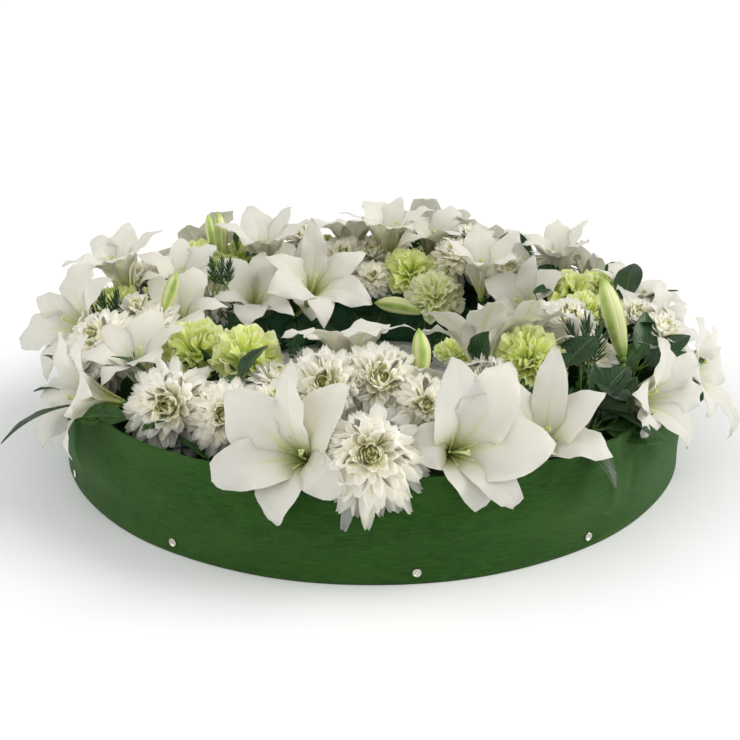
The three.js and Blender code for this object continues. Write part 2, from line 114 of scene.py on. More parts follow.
# heads and leaf clusters that fill the mound between the named flowers: kind, place, direction, size
EXTRA = [
    ("lily", (-138, 108, 96), (0.12, -0.56, 0.82), 58),
    ("lily", (148, -112, 122), (0.05, 0.55, 0.83), 56),
    ("mum", (-70, -262, 132), (0.0, -0.8, 0.6), 26),
    ("lily", (-208, 27, 96), (-0.15, -0.35, 0.92), 60),
    ("mum", (-36, 228, 120), (0.0, -0.5, 0.86), 42),
    ("mum", (24, 300, 108), (0.0, -0.3, 0.95), 32),
    ("carn", (86, -55, 116), (0.0, -0.41, 0.91), 18),
    ("mum", (221, -92, 124), (0.3, -0.51, 0.81), 30),
    ("lily", (170, 188, 92), (0.05, -0.35, 0.93), 60),
    ("mum", (-232, -35, 128), (-0.3, -0.51, 0.81), 36),
    ("lily", (193, 103, 92), (-0.53, -0.44, 0.72), 58),
    ("lily", (134, 261, 91), (0.31, 0.6, 0.74), 58),
    ("mum", (295, 114, 120), (0.61, 0.23, 0.76), 33),
    ("lily", (-223, 111, 110), (0.1, -0.22, 0.97), 58),
    ("lily", (-27, 273, 107), (-0.02, 0.25, 0.97), 58),
    ("carn", (229, 16, 142), (-0.22, -0.19, 0.96), 26),
    ("mum", (-258, 180, 122), (-0.51, 0.35, 0.79), 33),
    ("lily", (77, 257, 110), (0.02, -0.1, 1.0), 58),
    ("mum", (190, 25, 115), (-0.65, -0.27, 0.71), 33),
    ("lily", (69, -210, 96), (-0.18, 0.54, 0.82), 58),
    ("mum", (-221, -102, 145), (0.09, -0.13, 0.99), 33),
    ("lily", (245, 162, 91), (0.57, 0.37, 0.73), 58),
    ("mum", (-271, 122, 135), (-0.35, -0.02, 0.94), 33),
    ("lily", (-144, 240, 104), (-0.18, 0.3, 0.94), 58),
    ("lily", (280, 65, 100), (0.41, -0.09, 0.91), 58),
    ("mum", (302, -49, 130), (0.45, -0.25, 0.86), 33),
    ("mum", (126, 238, 145), (0.06, -0.07, 1.0), 33),
    ("lily", (-93, 199, 92), (0.25, -0.7, 0.67), 58),
    ("carn", (-164, 191, 146), (0.02, -0.2, 0.98), 26),
    ("carn", (-60, 311, 120), (-0.12, 0.64, 0.76), 26),
    ("lily", (-226, -142, 109), (-0.14, -0.26, 0.95), 58),
    ("lily", (188, -109, 93), (-0.48, 0.11, 0.87), 58),
    ("mum", (-89, -209, 141), (0.1, 0.06, 0.99), 33),
    ("mum", (223, 188, 138), (0.26, 0.22, 0.94), 33),
    ("mum", (101, 194, 138), (-0.14, -0.44, 0.88), 33),
    ("mum", (103, -261, 142), (0.08, -0.36, 0.93), 33),
    ("mum", (-254, 0, 140), (0.02, -0.27, 0.96), 26),
    ("mum", (-179, -93, 127), (0.47, 0.06, 0.88), 26),
    ("mum", (-183, 82, 125), (0.47, -0.39, 0.79), 26),
    ("carn", (-173, 150, 142), (0.17, -0.32, 0.93), 22),
    ("mum", (-306, 93, 116), (-0.67, 0.2, 0.71), 26),
    ("carn", (-188, -15, 110), (0.72, -0.13, 0.68), 22),
    ("mum", (-1, 190, 112), (0.0, -0.78, 0.62), 26),
    ("carn", (-229, 55, 144), (0.17, -0.21, 0.96), 22),
    ("mum", (-88, -258, 144), (-0.04, -0.29, 0.95), 26),
    ("carn", (262, 90, 144), (0.17, -0.12, 0.98), 22),
    ("mum", (-89, 253, 145), (-0.03, -0.08, 1.0), 26),
    ("leaf", (-24, -189, 113), (0.09, 0.73, 0.68), 24),
    ("leaf", (-76, -174, 111), (0.3, 0.69, 0.65), 24),
    ("leaf", (281, -97, 135), (0.34, -0.29, 0.89), 24),
    ("leaf", (222, -227, 118), (0.4, -0.58, 0.71), 24),
    ("leaf", (-137, -133, 114), (0.52, 0.5, 0.69), 24),
    ("leaf", (-234, -211, 122), (-0.4, -0.53, 0.75), 24),
    ("leaf", (16, -187, 109), (-0.07, 0.78, 0.63), 24),
    ("leaf", (-108, -159, 116), (0.39, 0.58, 0.72), 24),
    ("leaf", (-139, -203, 145), (0.05, -0.1, 0.99), 24),
]

# single leaves standing between the heads: base, tip, width, glossy dark 0 or mid green 4
LONE_LEAF = [
    ((-163, 194, 146), (-159, 190, 176), 24, 0),
    ((-152, 170, 146), (-131, 179, 152), 16, 0),
    ((-156, 128, 80), (-141, 152, 97), 22, 0),
    ((-99, 186, 36), (-96, 183, 72), 26, 4),
    ((102, -182, 140), (108, -188, 186), 44, 0),
    ((190, 134, 138), (221, 144, 142), 18, 0),
    ((180, 62, 138), (208, 71, 142), 16, 0),
    ((272, 130, 138), (291, 138, 150), 18, 0),
    ((242, -205, 122), (203, -179, 146), 38, 0),
    ((186, -157, 138), (220, -125, 158), 36, 0),
    ((282, -43, 120), (333, -39, 124), 16, 0),
    ((315, -141, 92), (317, -142, 118), 26, 0),
    ((213, -209, 128), (246, -174, 146), 30, 0),
    ((-231, -60, 138), (-208, -92, 128), 16, 0),
]
# rosemary-like sprigs: base, tip, needle length
SPRIG = [
    ((-277, -24, 132), (-294, 8, 158), 20),
    ((-282, -30, 132), (-306, 0, 146), 18),
    ((-275, -15, 132), (-276, 3, 155), 17),
    ((212, -139, 132), (213, -107, 166), 22),
    ((219, -134, 132), (228, -103, 156), 20),
    ((205, -134, 132), (197, -108, 158), 20),
    ((-177, 70, 146), (-182, 88, 166), 13),
    ((-163, 70, 146), (-161, 88, 166), 13),
    ((-170, 63, 146), (-170, 90, 168), 13),
    ((-90, 190, 50), (-94, 182, 78), 16),
    ((110, 180, 44), (102, 176, 76), 16),
    ((84, 192, 44), (90, 184, 78), 18),
    ((-162, 134, 86), (-175, 115, 121), 16),
    ((-170, 126, 88), (-157, 134, 114), 16),
]


def rng(*key):
    """A generator that gives the same numbers every run for the same key."""
    return np.random.default_rng(abs(hash_words(" ".join(map(str, key)))))


def hash_words(s):
    h = 2166136261
    for ch in s.encode():
        h = ((h ^ ch) * 16777619) & 0xFFFFFFFF
    return h


def unit(v):
    v = np.asarray(v, float)
    return v / np.linalg.norm(v)


UP_HINT = np.array([0.0, math.sin(math.radians(22.4)), math.cos(math.radians(22.4))])


def facing(direction, spin=0.0):
    """Rotation whose z column looks along direction, turned by spin degrees from the upward hint, as in the CAD."""
    z = unit(direction)
    y = unit(UP_HINT - z * float(UP_HINT @ z))
    x = np.cross(y, z)
    c, s = math.cos(math.radians(spin)), math.sin(math.radians(spin))
    return np.column_stack([x * c + y * s, -x * s + y * c, z])


# ------------------------------------------------------------------ mesh building
ATTRS = ("along", "across", "under", "tone", "heart", "rim")


class Build:
    """Collects closed shells into one mesh. Attributes drive the materials: along and across a petal (0..1, -1..1),
    under (0 on the inner face, 1 on the outer), tone (random per petal), heart (distance from the flower's middle)."""

    def __init__(self):
        self.verts, self.quads, self.tris, self.qm, self.tm = [], [], [], [], []
        self.attr = {k: [] for k in ATTRS}
        self.n = 0

    def put(self, verts, quads=None, tris=None, mat=0, **attrs):
        verts = np.asarray(verts, float).reshape(-1, 3)
        self.verts.append(verts)
        if quads is not None and len(quads):
            q = np.asarray(quads, int).reshape(-1, 4) + self.n
            self.quads.append(q)
            self.qm.append(np.full(len(q), mat))
        if tris is not None and len(tris):
            t = np.asarray(tris, int).reshape(-1, 3) + self.n
            self.tris.append(t)
            self.tm.append(np.full(len(t), mat))
        for k in ATTRS:
            a = attrs.get(k, 0.0)
            self.attr[k].append(np.broadcast_to(np.asarray(a, float).ravel() if np.ndim(a) else float(a), (len(verts),)))
        self.n += len(verts)

    def sheet(self, P, thick, mat=0, outside=1.0, **attrs):
        """A thin closed shell round the grid P[i, j]; thick is the grid of thicknesses. The rim is shared, so it stays closed."""
        nt, ns = P.shape[:2]
        du = np.gradient(P, axis=0)
        dv = np.gradient(P, axis=1)
        N = np.cross(du, dv)
        N /= np.maximum(np.linalg.norm(N, axis=2, keepdims=True), 1e-12)
        h = (np.broadcast_to(thick, (nt, ns)) / 2)[..., None]
        edge = np.zeros((nt, ns), bool)
        edge[0, :] = edge[-1, :] = edge[:, 0] = edge[:, -1] = True
        top = np.where(edge[..., None], P, P + N * h)
        low = P - N * h
        ti = np.arange(nt * ns).reshape(nt, ns)
        inner = ~edge
        li = ti.copy()
        li[inner] = nt * ns + np.arange(inner.sum())
        verts = np.concatenate([top.reshape(-1, 3), low[inner]])
        a, b, c, d = ti[:-1, :-1], ti[:-1, 1:], ti[1:, 1:], ti[1:, :-1]
        qt = np.stack([a, d, c, b], -1).reshape(-1, 4)
        a, b, c, d = li[:-1, :-1], li[:-1, 1:], li[1:, 1:], li[1:, :-1]
        ql = np.stack([a, b, c, d], -1).reshape(-1, 4)
        full = {}
        for k, v in attrs.items():
            v = np.broadcast_to(np.asarray(v, float), (nt, ns))
            full[k] = np.concatenate([v.ravel(), v[inner]])
        under = np.concatenate([np.zeros(nt * ns), np.full(inner.sum(), 1.0)])
        under[ti[edge]] = 0.5
        full["under"] = under if outside else 1 - under
        rim = np.zeros(len(verts))
        rim[ti[edge]] = 1.0
        full["rim"] = rim
        self.put(verts, quads=np.concatenate([qt, ql]), mat=mat, **full)

    def tube(self, path, radii, sides=8, mat=0, squash=1.0, **attrs):
        """A closed tube along a path, with end caps."""
        path = np.asarray(path, float)
        n = len(path)
        radii = np.broadcast_to(np.asarray(radii, float), (n,))
        T = np.gradient(path, axis=0)
        T /= np.linalg.norm(T, axis=1, keepdims=True)
        ref = np.array([0.31, 0.17, 0.93]) if abs(T[0] @ np.array([0.31, 0.17, 0.93])) < 0.9 else np.array([1.0, 0.0, 0.0])
        A = ref - T * (T @ ref)[:, None]
        A /= np.linalg.norm(A, axis=1, keepdims=True)
        B = np.cross(T, A)
        ang = np.arange(sides) * 2 * math.pi / sides
        V = path[:, None] + radii[:, None, None] * (A[:, None] * np.cos(ang)[None, :, None] + B[:, None] * np.sin(ang)[None, :, None] * squash)
        idx = np.arange(n * sides).reshape(n, sides)
        nx = np.roll(idx, -1, axis=1)
        q = np.stack([idx[:-1], nx[:-1], nx[1:], idx[1:]], -1).reshape(-1, 4)
        verts = np.concatenate([V.reshape(-1, 3), path[:1], path[-1:]])
        s, e = n * sides, n * sides + 1
        t0 = np.stack([np.full(sides, s), nx[0], idx[0]], -1)
        t1 = np.stack([np.full(sides, e), idx[-1], nx[-1]], -1)
        al = np.concatenate([np.repeat(np.linspace(0, 1, n), sides), [0, 1]])
        at = {"along": al}
        at.update(attrs)
        self.put(verts, quads=q, tris=np.concatenate([t0, t1]), mat=mat, **at)

    def object(self, name, materials, smooth=True):
        verts = np.concatenate(self.verts)
        quads = np.concatenate(self.quads) if self.quads else np.zeros((0, 4), int)
        tris = np.concatenate(self.tris) if self.tris else np.zeros((0, 3), int)
        qm = np.concatenate(self.qm) if self.qm else np.zeros(0, int)
        tm = np.concatenate(self.tm) if self.tm else np.zeros(0, int)
        me = bpy.data.meshes.new(name)
        me.vertices.add(len(verts))
        me.vertices.foreach_set("co", verts.astype(np.float32).ravel())
        loops = np.concatenate([quads.ravel(), tris.ravel()]).astype(np.int32)
        me.loops.add(len(loops))
        me.loops.foreach_set("vertex_index", loops)
        starts = np.concatenate([np.arange(len(quads)) * 4, len(quads) * 4 + np.arange(len(tris)) * 3]).astype(np.int32)
        me.polygons.add(len(starts))
        me.polygons.foreach_set("loop_start", starts)
        me.polygons.foreach_set("material_index", np.concatenate([qm, tm]).astype(np.int32))
        me.polygons.foreach_set("use_smooth", np.full(len(starts), smooth))
        for k in ATTRS:
            at = me.attributes.new(k, "FLOAT", "POINT")
            at.data.foreach_set("value", np.concatenate(self.attr[k]).astype(np.float32))
        me.update(calc_edges=True)
        ev = np.zeros(len(me.edges) * 2, np.int32)
        me.edges.foreach_get("vertices", ev)
        on_rim = np.concatenate(self.attr["rim"]) > 0.5
        sharp = me.attributes.new("sharp_edge", "BOOLEAN", "EDGE")
        sharp.data.foreach_set("value", on_rim[ev.reshape(-1, 2)].all(axis=1))
        me.validate()
        for m in materials:
            me.materials.append(m)
        ob = bpy.data.objects.new(name, me)
        scene.collection.objects.link(ob)
        return ob


# ------------------------------------------------------------------ materials
class Mat:
    """A small helper for node materials."""

    def __init__(self, name, **fixed):
        self.m = bpy.data.materials.new(name)
        self.m.use_nodes = True
        self.t = self.m.node_tree
        self.n = self.t.nodes
        self.n.clear()
        self.out = self.n.new("ShaderNodeOutputMaterial")
        self.p = self.n.new("ShaderNodeBsdfPrincipled")
        self.link(self.p.outputs[0], self.out.inputs["Surface"])
        for k, v in fixed.items():
            self.p.inputs[k.replace("_", " ")].default_value = v

    def link(self, a, b):
        self.t.links.new(a, b)

    def set(self, socket, value):
        if isinstance(value, bpy.types.NodeSocket):
            self.link(value, socket)
        elif isinstance(value, (tuple, list)) and len(value) == 3 and socket.type == "RGBA":
            socket.default_value = (*value, 1.0)
        else:
            socket.default_value = value

    def attr(self, name):
        a = self.n.new("ShaderNodeAttribute")
        a.attribute_name = name
        return a.outputs["Fac"]

    def coords(self):
        return self.n.new("ShaderNodeTexCoord").outputs["Object"]

    def math(self, op, a, b=0.0, c=0.0, clamp=False):
        x = self.n.new("ShaderNodeMath")
        x.operation = op
        x.use_clamp = clamp
        self.set(x.inputs[0], a)
        self.set(x.inputs[1], b)
        self.set(x.inputs[2], c)
        return x.outputs[0]

    def xyz(self, a, b, c):
        x = self.n.new("ShaderNodeCombineXYZ")
        for i, v in enumerate((a, b, c)):
            self.set(x.inputs[i], v)
        return x.outputs[0]

    def noise(self, vector, scale, detail=3.0, rough=0.5, distort=0.0):
        x = self.n.new("ShaderNodeTexNoise")
        self.set(x.inputs["Vector"], vector)
        x.inputs["Scale"].default_value = scale
        x.inputs["Detail"].default_value = detail
        x.inputs["Roughness"].default_value = rough
        x.inputs["Distortion"].default_value = distort
        return x.outputs["Fac"]

    def ramp(self, fac, stops):
        x = self.n.new("ShaderNodeValToRGB")
        self.set(x.inputs["Fac"], fac)
        e = x.color_ramp.elements
        while len(e) < len(stops):
            e.new(0.5)
        for i, (p, c) in enumerate(stops):
            e[i].position = p
            e[i].color = (*c, 1.0) if len(c) == 3 else c
        return x.outputs["Color"]

    def level(self, fac, lo, hi, a=0.0, b=1.0, smooth=True):
        x = self.n.new("ShaderNodeMapRange")
        x.interpolation_type = "SMOOTHSTEP" if smooth else "LINEAR"
        x.clamp = True
        self.set(x.inputs["Value"], fac)
        for i, v in zip(("From Min", "From Max", "To Min", "To Max"), (lo, hi, a, b)):
            x.inputs[i].default_value = v
        return x.outputs["Result"]

    def mix(self, fac, a, b, mode="MIX"):
        x = self.n.new("ShaderNodeMix")
        x.data_type = "RGBA"
        x.blend_type = mode
        self.set(x.inputs["Factor"], fac)
        self.set(x.inputs["A"] if False else x.inputs[6], a)
        self.set(x.inputs[7], b)
        return x.outputs[2]

    def bump(self, height, strength, distance):
        x = self.n.new("ShaderNodeBump")
        x.inputs["Strength"].default_value = strength
        x.inputs["Distance"].default_value = distance
        self.set(x.inputs["Height"], height)
        self.link(x.outputs["Normal"], self.p.inputs["Normal"])

    def colour(self, c):
        self.set(self.p.inputs["Base Color"], c)

    def rough(self, r):
        self.set(self.p.inputs["Roughness"], r)

    def soft(self, weight, radius, scale):
        self.p.inputs["Subsurface Weight"].default_value = weight
        self.p.inputs["Subsurface Radius"].default_value = radius
        self.p.inputs["Subsurface Scale"].default_value = scale


def petal_white(name="lily_petal", white=(0.74, 0.715, 0.625), throat=(0.44, 0.46, 0.08)):
    m = Mat(name)
    al, ac, un, tone = m.attr("along"), m.attr("across"), m.attr("under"), m.attr("tone")
    absx = m.math("ABSOLUTE", ac)
    veins = m.noise(m.xyz(m.math("MULTIPLY", ac, 26.0), m.math("MULTIPLY", al, 3.0), m.math("MULTIPLY", tone, 40.0)), 1.0, 2.0, 0.55)
    cloud = m.noise(m.coords(), 38.0, 3.0, 0.55)
    base = m.mix(m.level(tone, 0.0, 1.0), white, (white[0] * 1.03, white[1] * 1.025, white[2] * 0.985))
    base = m.mix(m.level(cloud, 0.3, 0.75, 0.0, 0.35), base, (white[0] * 0.93, white[1] * 0.935, white[2] * 0.90))
    base = m.mix(m.level(veins, 0.35, 0.7, 0.0, 0.16), base, (white[0] * 0.88, white[1] * 0.90, white[2] * 0.80))
    # green-yellow throat, strongest at the base and along the midrib, plus painted shade: a beige darkening of the
    # lower petal, inside the trumpet
    rib = m.level(absx, 0.0, 0.16, 1.0, 0.0)
    deep = m.level(al, 0.10, 0.42, 1.0, 0.0)
    # painted shade: mask that is strongest at the petal base and fades out by about two thirds of the way along
    painted_base_shade = m.level(al, 0.22, 0.62, 1.0, 0.0)
    inner = m.math("SUBTRACT", 1.0, un)
    # painted shade: the lower petal is mixed towards beige (0.80, 0.80, 0.50)
    base = m.mix(m.math("MULTIPLY", painted_base_shade, 0.34), base, (0.80, 0.80, 0.50))
    base = m.mix(m.math("MULTIPLY", deep, 0.86), base, throat)
    ribin = m.math("MULTIPLY", m.math("MULTIPLY", rib, m.level(al, 0.25, 0.75, 0.75, 0.0)), inner)
    base = m.mix(ribin, base, (0.62, 0.66, 0.26))
    # outer face: a pale green stripe down the back of the petal, and a greener tip
    ribout = m.math("MULTIPLY", m.math("MULTIPLY", m.level(absx, 0.02, 0.20, 1.0, 0.0), m.level(un, 0.4, 0.9)), m.level(al, 0.1, 0.98, 0.75, 0.35))
    base = m.mix(ribout, base, (0.50, 0.60, 0.20))
    tip = m.math("MULTIPLY", m.level(al, 0.93, 1.0), m.level(absx, 0.6, 0.0))
    base = m.mix(m.math("MULTIPLY", tip, 0.45), base, (0.58, 0.62, 0.28))
    m.colour(base)
    m.rough(m.level(cloud, 0.2, 0.8, 0.42, 0.56))
    m.soft(0.35, (0.010, 0.0095, 0.007), 1.0)
    m.p.inputs["Specular IOR Level"].default_value = 0.35
    m.bump(m.math("ADD", m.math("MULTIPLY", veins, 0.8), m.math("MULTIPLY", m.noise(m.coords(), 900.0, 2.0), 0.35)), 0.30, 0.0009)
    return m.m


def mum_white(name="mum_petal"):
    m = Mat(name)
    al, ac, he, tone = m.attr("along"), m.attr("across"), m.attr("heart"), m.attr("tone")
    veins = m.noise(m.xyz(m.math("MULTIPLY", ac, 7.0), m.math("MULTIPLY", al, 2.0), m.math("MULTIPLY", tone, 60.0)), 1.0, 1.5, 0.5)
    base = m.mix(m.level(tone, 0.0, 1.0), (0.97, 0.955, 0.875), (0.96, 0.93, 0.80))
    base = m.mix(m.level(veins, 0.35, 0.7, 0.0, 0.12), base, (0.88, 0.87, 0.76))
    # yellow-green heart and petal bases
    base = m.mix(m.math("MULTIPLY", m.level(al, 0.0, 0.5, 1.0, 0.0), 0.25), base, (0.86, 0.86, 0.62))
    base = m.mix(m.level(he, 0.12, 0.46, 0.75, 0.0), base, (0.92, 0.90, 0.58))
    base = m.mix(m.level(he, 0.04, 0.22, 0.85, 0.0), base, (0.78, 0.80, 0.28))
    m.colour(base)
    m.rough(m.level(veins, 0.3, 0.7, 0.48, 0.62))
    m.soft(0.85, (0.014, 0.0135, 0.0115), 1.0)
    m.p.inputs["Specular IOR Level"].default_value = 0.3
    m.bump(veins, 0.35, 0.0006)
    return m.m


def carnation_lime(name="carnation_petal", deep=(0.66, 0.78, 0.12), mid=(0.84, 0.90, 0.28), edge=(0.94, 0.95, 0.50)):
    m = Mat(name)
    al, ac, tone, he = m.attr("along"), m.attr("across"), m.attr("tone"), m.attr("heart")
    veins = m.noise(m.xyz(m.math("MULTIPLY", ac, 16.0), m.math("MULTIPLY", al, 3.0), m.math("MULTIPLY", tone, 50.0)), 1.0, 2.0, 0.6)
    cloud = m.noise(m.coords(), 70.0, 2.0, 0.5)
    base = m.ramp(al, [(0.0, deep), (0.55, mid), (0.88, mid), (1.0, edge)])
    base = m.mix(m.level(tone, 0.0, 1.0, 0.0, 0.4), base, (0.80, 0.86, 0.36))
    base = m.mix(m.level(cloud, 0.4, 0.75, 0.0, 0.35), base, (0.72, 0.82, 0.22))
    base = m.mix(m.level(veins, 0.4, 0.75, 0.0, 0.18), base, (0.46, 0.60, 0.08))
    m.colour(base)
    m.rough(m.level(veins, 0.3, 0.7, 0.5, 0.68))
    m.soft(0.5, (0.007, 0.008, 0.004), 1.0)
    m.p.inputs["Specular IOR Level"].default_value = 0.25
    m.bump(veins, 0.4, 0.0006)
    return m.m


def stem_green(name="stem", dark=(0.10, 0.20, 0.035), pale=(0.24, 0.36, 0.08)):
    m = Mat(name)
    al = m.attr("along")
    n = m.noise(m.coords(), 160.0, 3.0, 0.6)
    m.colour(m.mix(m.level(n, 0.3, 0.7), dark, pale))
    m.rough(m.level(n, 0.3, 0.7, 0.4, 0.6))
    m.bump(n, 0.3, 0.0005)
    return m.m


def bud_green(name="lily_bud"):
    m = Mat(name)
    al, ac, tone = m.attr("along"), m.attr("across"), m.attr("tone")
    n = m.noise(m.xyz(m.math("MULTIPLY", ac, 14.0), m.math("MULTIPLY", al, 2.5), m.math("MULTIPLY", tone, 30.0)), 1.0, 2.0, 0.55)
    c = m.noise(m.coords(), 90.0, 2.0, 0.5)
    # across runs -1..1 over each of the three outer petals: cream between, green along the ribs and at both ends
    rib = m.level(m.math("ABSOLUTE", ac), 0.10, 0.62, 1.0, 0.0)
    ends = m.math("MAXIMUM", m.level(al, 0.0, 0.28, 1.0, 0.0), m.level(al, 0.80, 1.0, 0.0, 0.9))
    green = m.mix(m.level(c, 0.3, 0.7), (0.24, 0.40, 0.05), (0.40, 0.55, 0.10))
    cream = m.mix(m.level(n, 0.35, 0.7), (0.76, 0.76, 0.42), (0.66, 0.70, 0.30))
    base = m.mix(m.math("MAXIMUM", m.math("MULTIPLY", rib, 0.92), ends), cream, green)
    m.colour(base)
    m.rough(m.level(n, 0.3, 0.7, 0.36, 0.5))
    m.soft(0.12, (0.006, 0.008, 0.003), 0.3)
    m.bump(n, 0.35, 0.0007)
    return m.m


def leaf_green(name="leaf", dark=(0.006, 0.026, 0.005), mid=(0.013, 0.050, 0.009), pale=(0.060, 0.125, 0.030), under=(0.035, 0.085, 0.025), rough=(0.24, 0.38)):
    m = Mat(name)
    al, ac, un, tone = m.attr("along"), m.attr("across"), m.attr("under"), m.attr("tone")
    absx = m.math("ABSOLUTE", ac)
    # side veins leave the midrib at a slant
    slant = m.math("SUBTRACT", m.math("MULTIPLY", al, 9.0), m.math("MULTIPLY", absx, 2.6))
    wave = m.math("SINE", m.math("MULTIPLY", slant, 6.2832))
    vein = m.level(wave, 0.80, 1.0)
    cloud = m.noise(m.coords(), 60.0, 3.0, 0.6)
    fine = m.noise(m.coords(), 420.0, 3.0, 0.6)
    base = m.mix(m.level(cloud, 0.3, 0.7), dark, mid)
    base = m.mix(m.level(tone, 0.35, 1.0, 0.0, 0.55), base, (0.045, 0.13, 0.022))
    base = m.mix(m.math("MULTIPLY", vein, 0.22), base, pale)
    base = m.mix(m.level(absx, 0.015, 0.055, 0.85, 0.0), base, pale)
    base = m.mix(m.level(un, 0.55, 0.95, 0.0, 0.75), base, under)
    m.colour(base)
    m.rough(m.level(m.math("ADD", cloud, m.math("MULTIPLY", un, 0.5)), 0.3, 1.0, rough[0], rough[1] + 0.15))
    m.p.inputs["Specular IOR Level"].default_value = 0.34
    h = m.math("ADD", m.math("MULTIPLY", vein, -0.5), m.math("MULTIPLY", fine, 0.35))
    h = m.math("ADD", h, m.level(absx, 0.0, 0.09, -1.0, 0.0))
    m.bump(h, 0.45, 0.0010)
    return m.m


def fabric_skirt(name="skirt_fabric"):
    """Spunbond: fibres laid mostly round the band, pressed flat, with small denser clumps."""
    m = Mat(name)
    uv = m.n.new("ShaderNodeUVMap")
    uv.uv_map = "flat"
    sep = m.n.new("ShaderNodeSeparateXYZ")
    m.link(uv.outputs[0], sep.inputs[0])
    u, v = sep.outputs[0], sep.outputs[1]   # metres along and up the band
    streak = m.noise(m.xyz(m.math("MULTIPLY", u, 55.0), m.math("MULTIPLY", v, 620.0), 0.0), 1.0, 5.0, 0.62, 0.35)
    wisps = m.noise(m.xyz(m.math("MULTIPLY", u, 130.0), m.math("MULTIPLY", v, 300.0), 3.0), 1.0, 6.0, 0.65, 1.2)
    broad = m.noise(m.xyz(m.math("MULTIPLY", u, 9.0), m.math("MULTIPLY", v, 34.0), 7.0), 1.0, 3.0, 0.55)
    grain = m.noise(m.xyz(m.math("MULTIPLY", u, 1500.0), m.math("MULTIPLY", v, 2600.0), 1.0), 1.0, 2.0, 0.5)
    base = m.mix(m.level(streak, 0.32, 0.68), (0.010, 0.044, 0.004), (0.026, 0.086, 0.010))
    base = m.mix(m.level(wisps, 0.52, 0.78, 0.0, 0.55), base, (0.060, 0.150, 0.030))
    base = m.mix(m.level(broad, 0.35, 0.7, 0.0, 0.35), base, (0.042, 0.112, 0.018))
    base = m.mix(m.level(grain, 0.55, 0.8, 0.0, 0.35), base, (0.062, 0.150, 0.034))
    m.colour(base)
    m.rough(m.level(streak, 0.3, 0.7, 0.78, 0.92))
    m.p.inputs["Sheen Weight"].default_value = 0.13
    m.p.inputs["Sheen Roughness"].default_value = 0.5
    m.p.inputs["Sheen Tint"].default_value = (0.75, 0.95, 0.70, 1.0)
    m.p.inputs["Specular IOR Level"].default_value = 0.12
    h = m.math("ADD", m.math("MULTIPLY", streak, 0.9), m.math("MULTIPLY", grain, 0.5))
    m.bump(h, 0.55, 0.0007)
    return m.m


def nickel(name="pin_metal"):
    m = Mat(name, Metallic=1.0)
    n = m.noise(m.coords(), 900.0, 4.0, 0.6)
    m.colour(m.mix(m.level(n, 0.3, 0.7), (0.62, 0.58, 0.50), (0.80, 0.77, 0.70)))
    m.rough(m.level(n, 0.3, 0.7, 0.16, 0.32))
    m.bump(n, 0.15, 0.0002)
    return m.m


def polystyrene(name="polystyrene"):
    m = Mat(name)
    v = m.n.new("ShaderNodeTexVoronoi")
    m.link(m.coords(), v.inputs["Vector"])
    v.inputs["Scale"].default_value = 330.0
    v.feature = "DISTANCE_TO_EDGE"
    n = m.noise(m.coords(), 60.0, 3.0)
    edge = m.level(v.outputs["Distance"], 0.0, 0.12)
    m.colour(m.mix(edge, (0.55, 0.54, 0.50), m.mix(m.level(n, 0.3, 0.7), (0.80, 0.79, 0.75), (0.88, 0.87, 0.84))))
    m.rough(m.level(n, 0.3, 0.7, 0.7, 0.9))
    m.bump(edge, 0.5, 0.0008)
    return m.m


def floral_foam(name="floral_foam"):
    m = Mat(name)
    n = m.noise(m.coords(), 700.0, 4.0, 0.7)
    c = m.noise(m.coords(), 45.0, 3.0, 0.6)
    base = m.mix(m.level(c, 0.3, 0.7), (0.012, 0.060, 0.022), (0.024, 0.100, 0.040))
    m.colour(m.mix(m.level(n, 0.5, 0.75, 0.0, 0.6), base, (0.05, 0.16, 0.07)))
    m.rough(m.level(n, 0.3, 0.7, 0.8, 0.95))
    m.bump(n, 0.8, 0.0012)
    return m.m


M_LILY = petal_white()
M_THROAT = stem_green("lily_style", (0.42, 0.52, 0.16), (0.66, 0.72, 0.38))
M_STEM = stem_green()
M_MUM = mum_white()
M_CARN = carnation_lime()
M_CARN_CREAM = carnation_lime("carnation_cream", (0.80, 0.82, 0.28), (0.93, 0.92, 0.60), (0.95, 0.93, 0.76))
M_BUD = bud_green()
M_LEAF = leaf_green()
M_LEAF_MID = leaf_green("leaf_mid", (0.018, 0.060, 0.010), (0.045, 0.135, 0.022), (0.16, 0.27, 0.08), (0.13, 0.22, 0.09))
M_NEEDLE = leaf_green("needle", (0.010, 0.034, 0.010), (0.030, 0.075, 0.020), (0.16, 0.24, 0.11), (0.08, 0.14, 0.06), (0.35, 0.5))
M_FERN = leaf_green("fern", (0.008, 0.040, 0.010), (0.022, 0.090, 0.020), (0.09, 0.18, 0.05), (0.05, 0.12, 0.04), (0.4, 0.55))
M_SKIRT = fabric_skirt()
M_PIN = nickel()
M_EPS = polystyrene()
M_FOAM = floral_foam()


# ------------------------------------------------------------------ flowers (all built in mm, then placed)
def smooth01(x, a, b):
    t = np.clip((x - a) / (b - a), 0, 1)
    return t * t * (3 - 2 * t)


def place(P, R, origin):
    """Local mm to row-frame metres."""
    return (P @ R.T + np.asarray(origin, float)) * MM


def bent_stem(b, start, foot, radius, lead, mat=1, sides=8, tone=0.5):
    """Stem from the back of a head, leaving along `lead` and then straight down its socket."""
    s, f = np.asarray(start, float), np.asarray(foot, float)
    d = unit(f - s)
    k = np.linspace(0, 1, 7)[:, None]
    path = s + (f - s) * k
    bow = np.sin(k * math.pi) * (1 - k) * 2.2
    side = unit(lead) - d * float(unit(lead) @ d)
    path = path + side * bow
    b.tube(path * MM, np.linspace(radius * 0.86, radius, 7) * MM, sides=sides, mat=mat, tone=tone)


S_LILY = np.array([-1, -0.94, -0.74, -0.46, -0.17, -0.05, 0.05, 0.17, 0.46, 0.74, 0.94, 1.0])


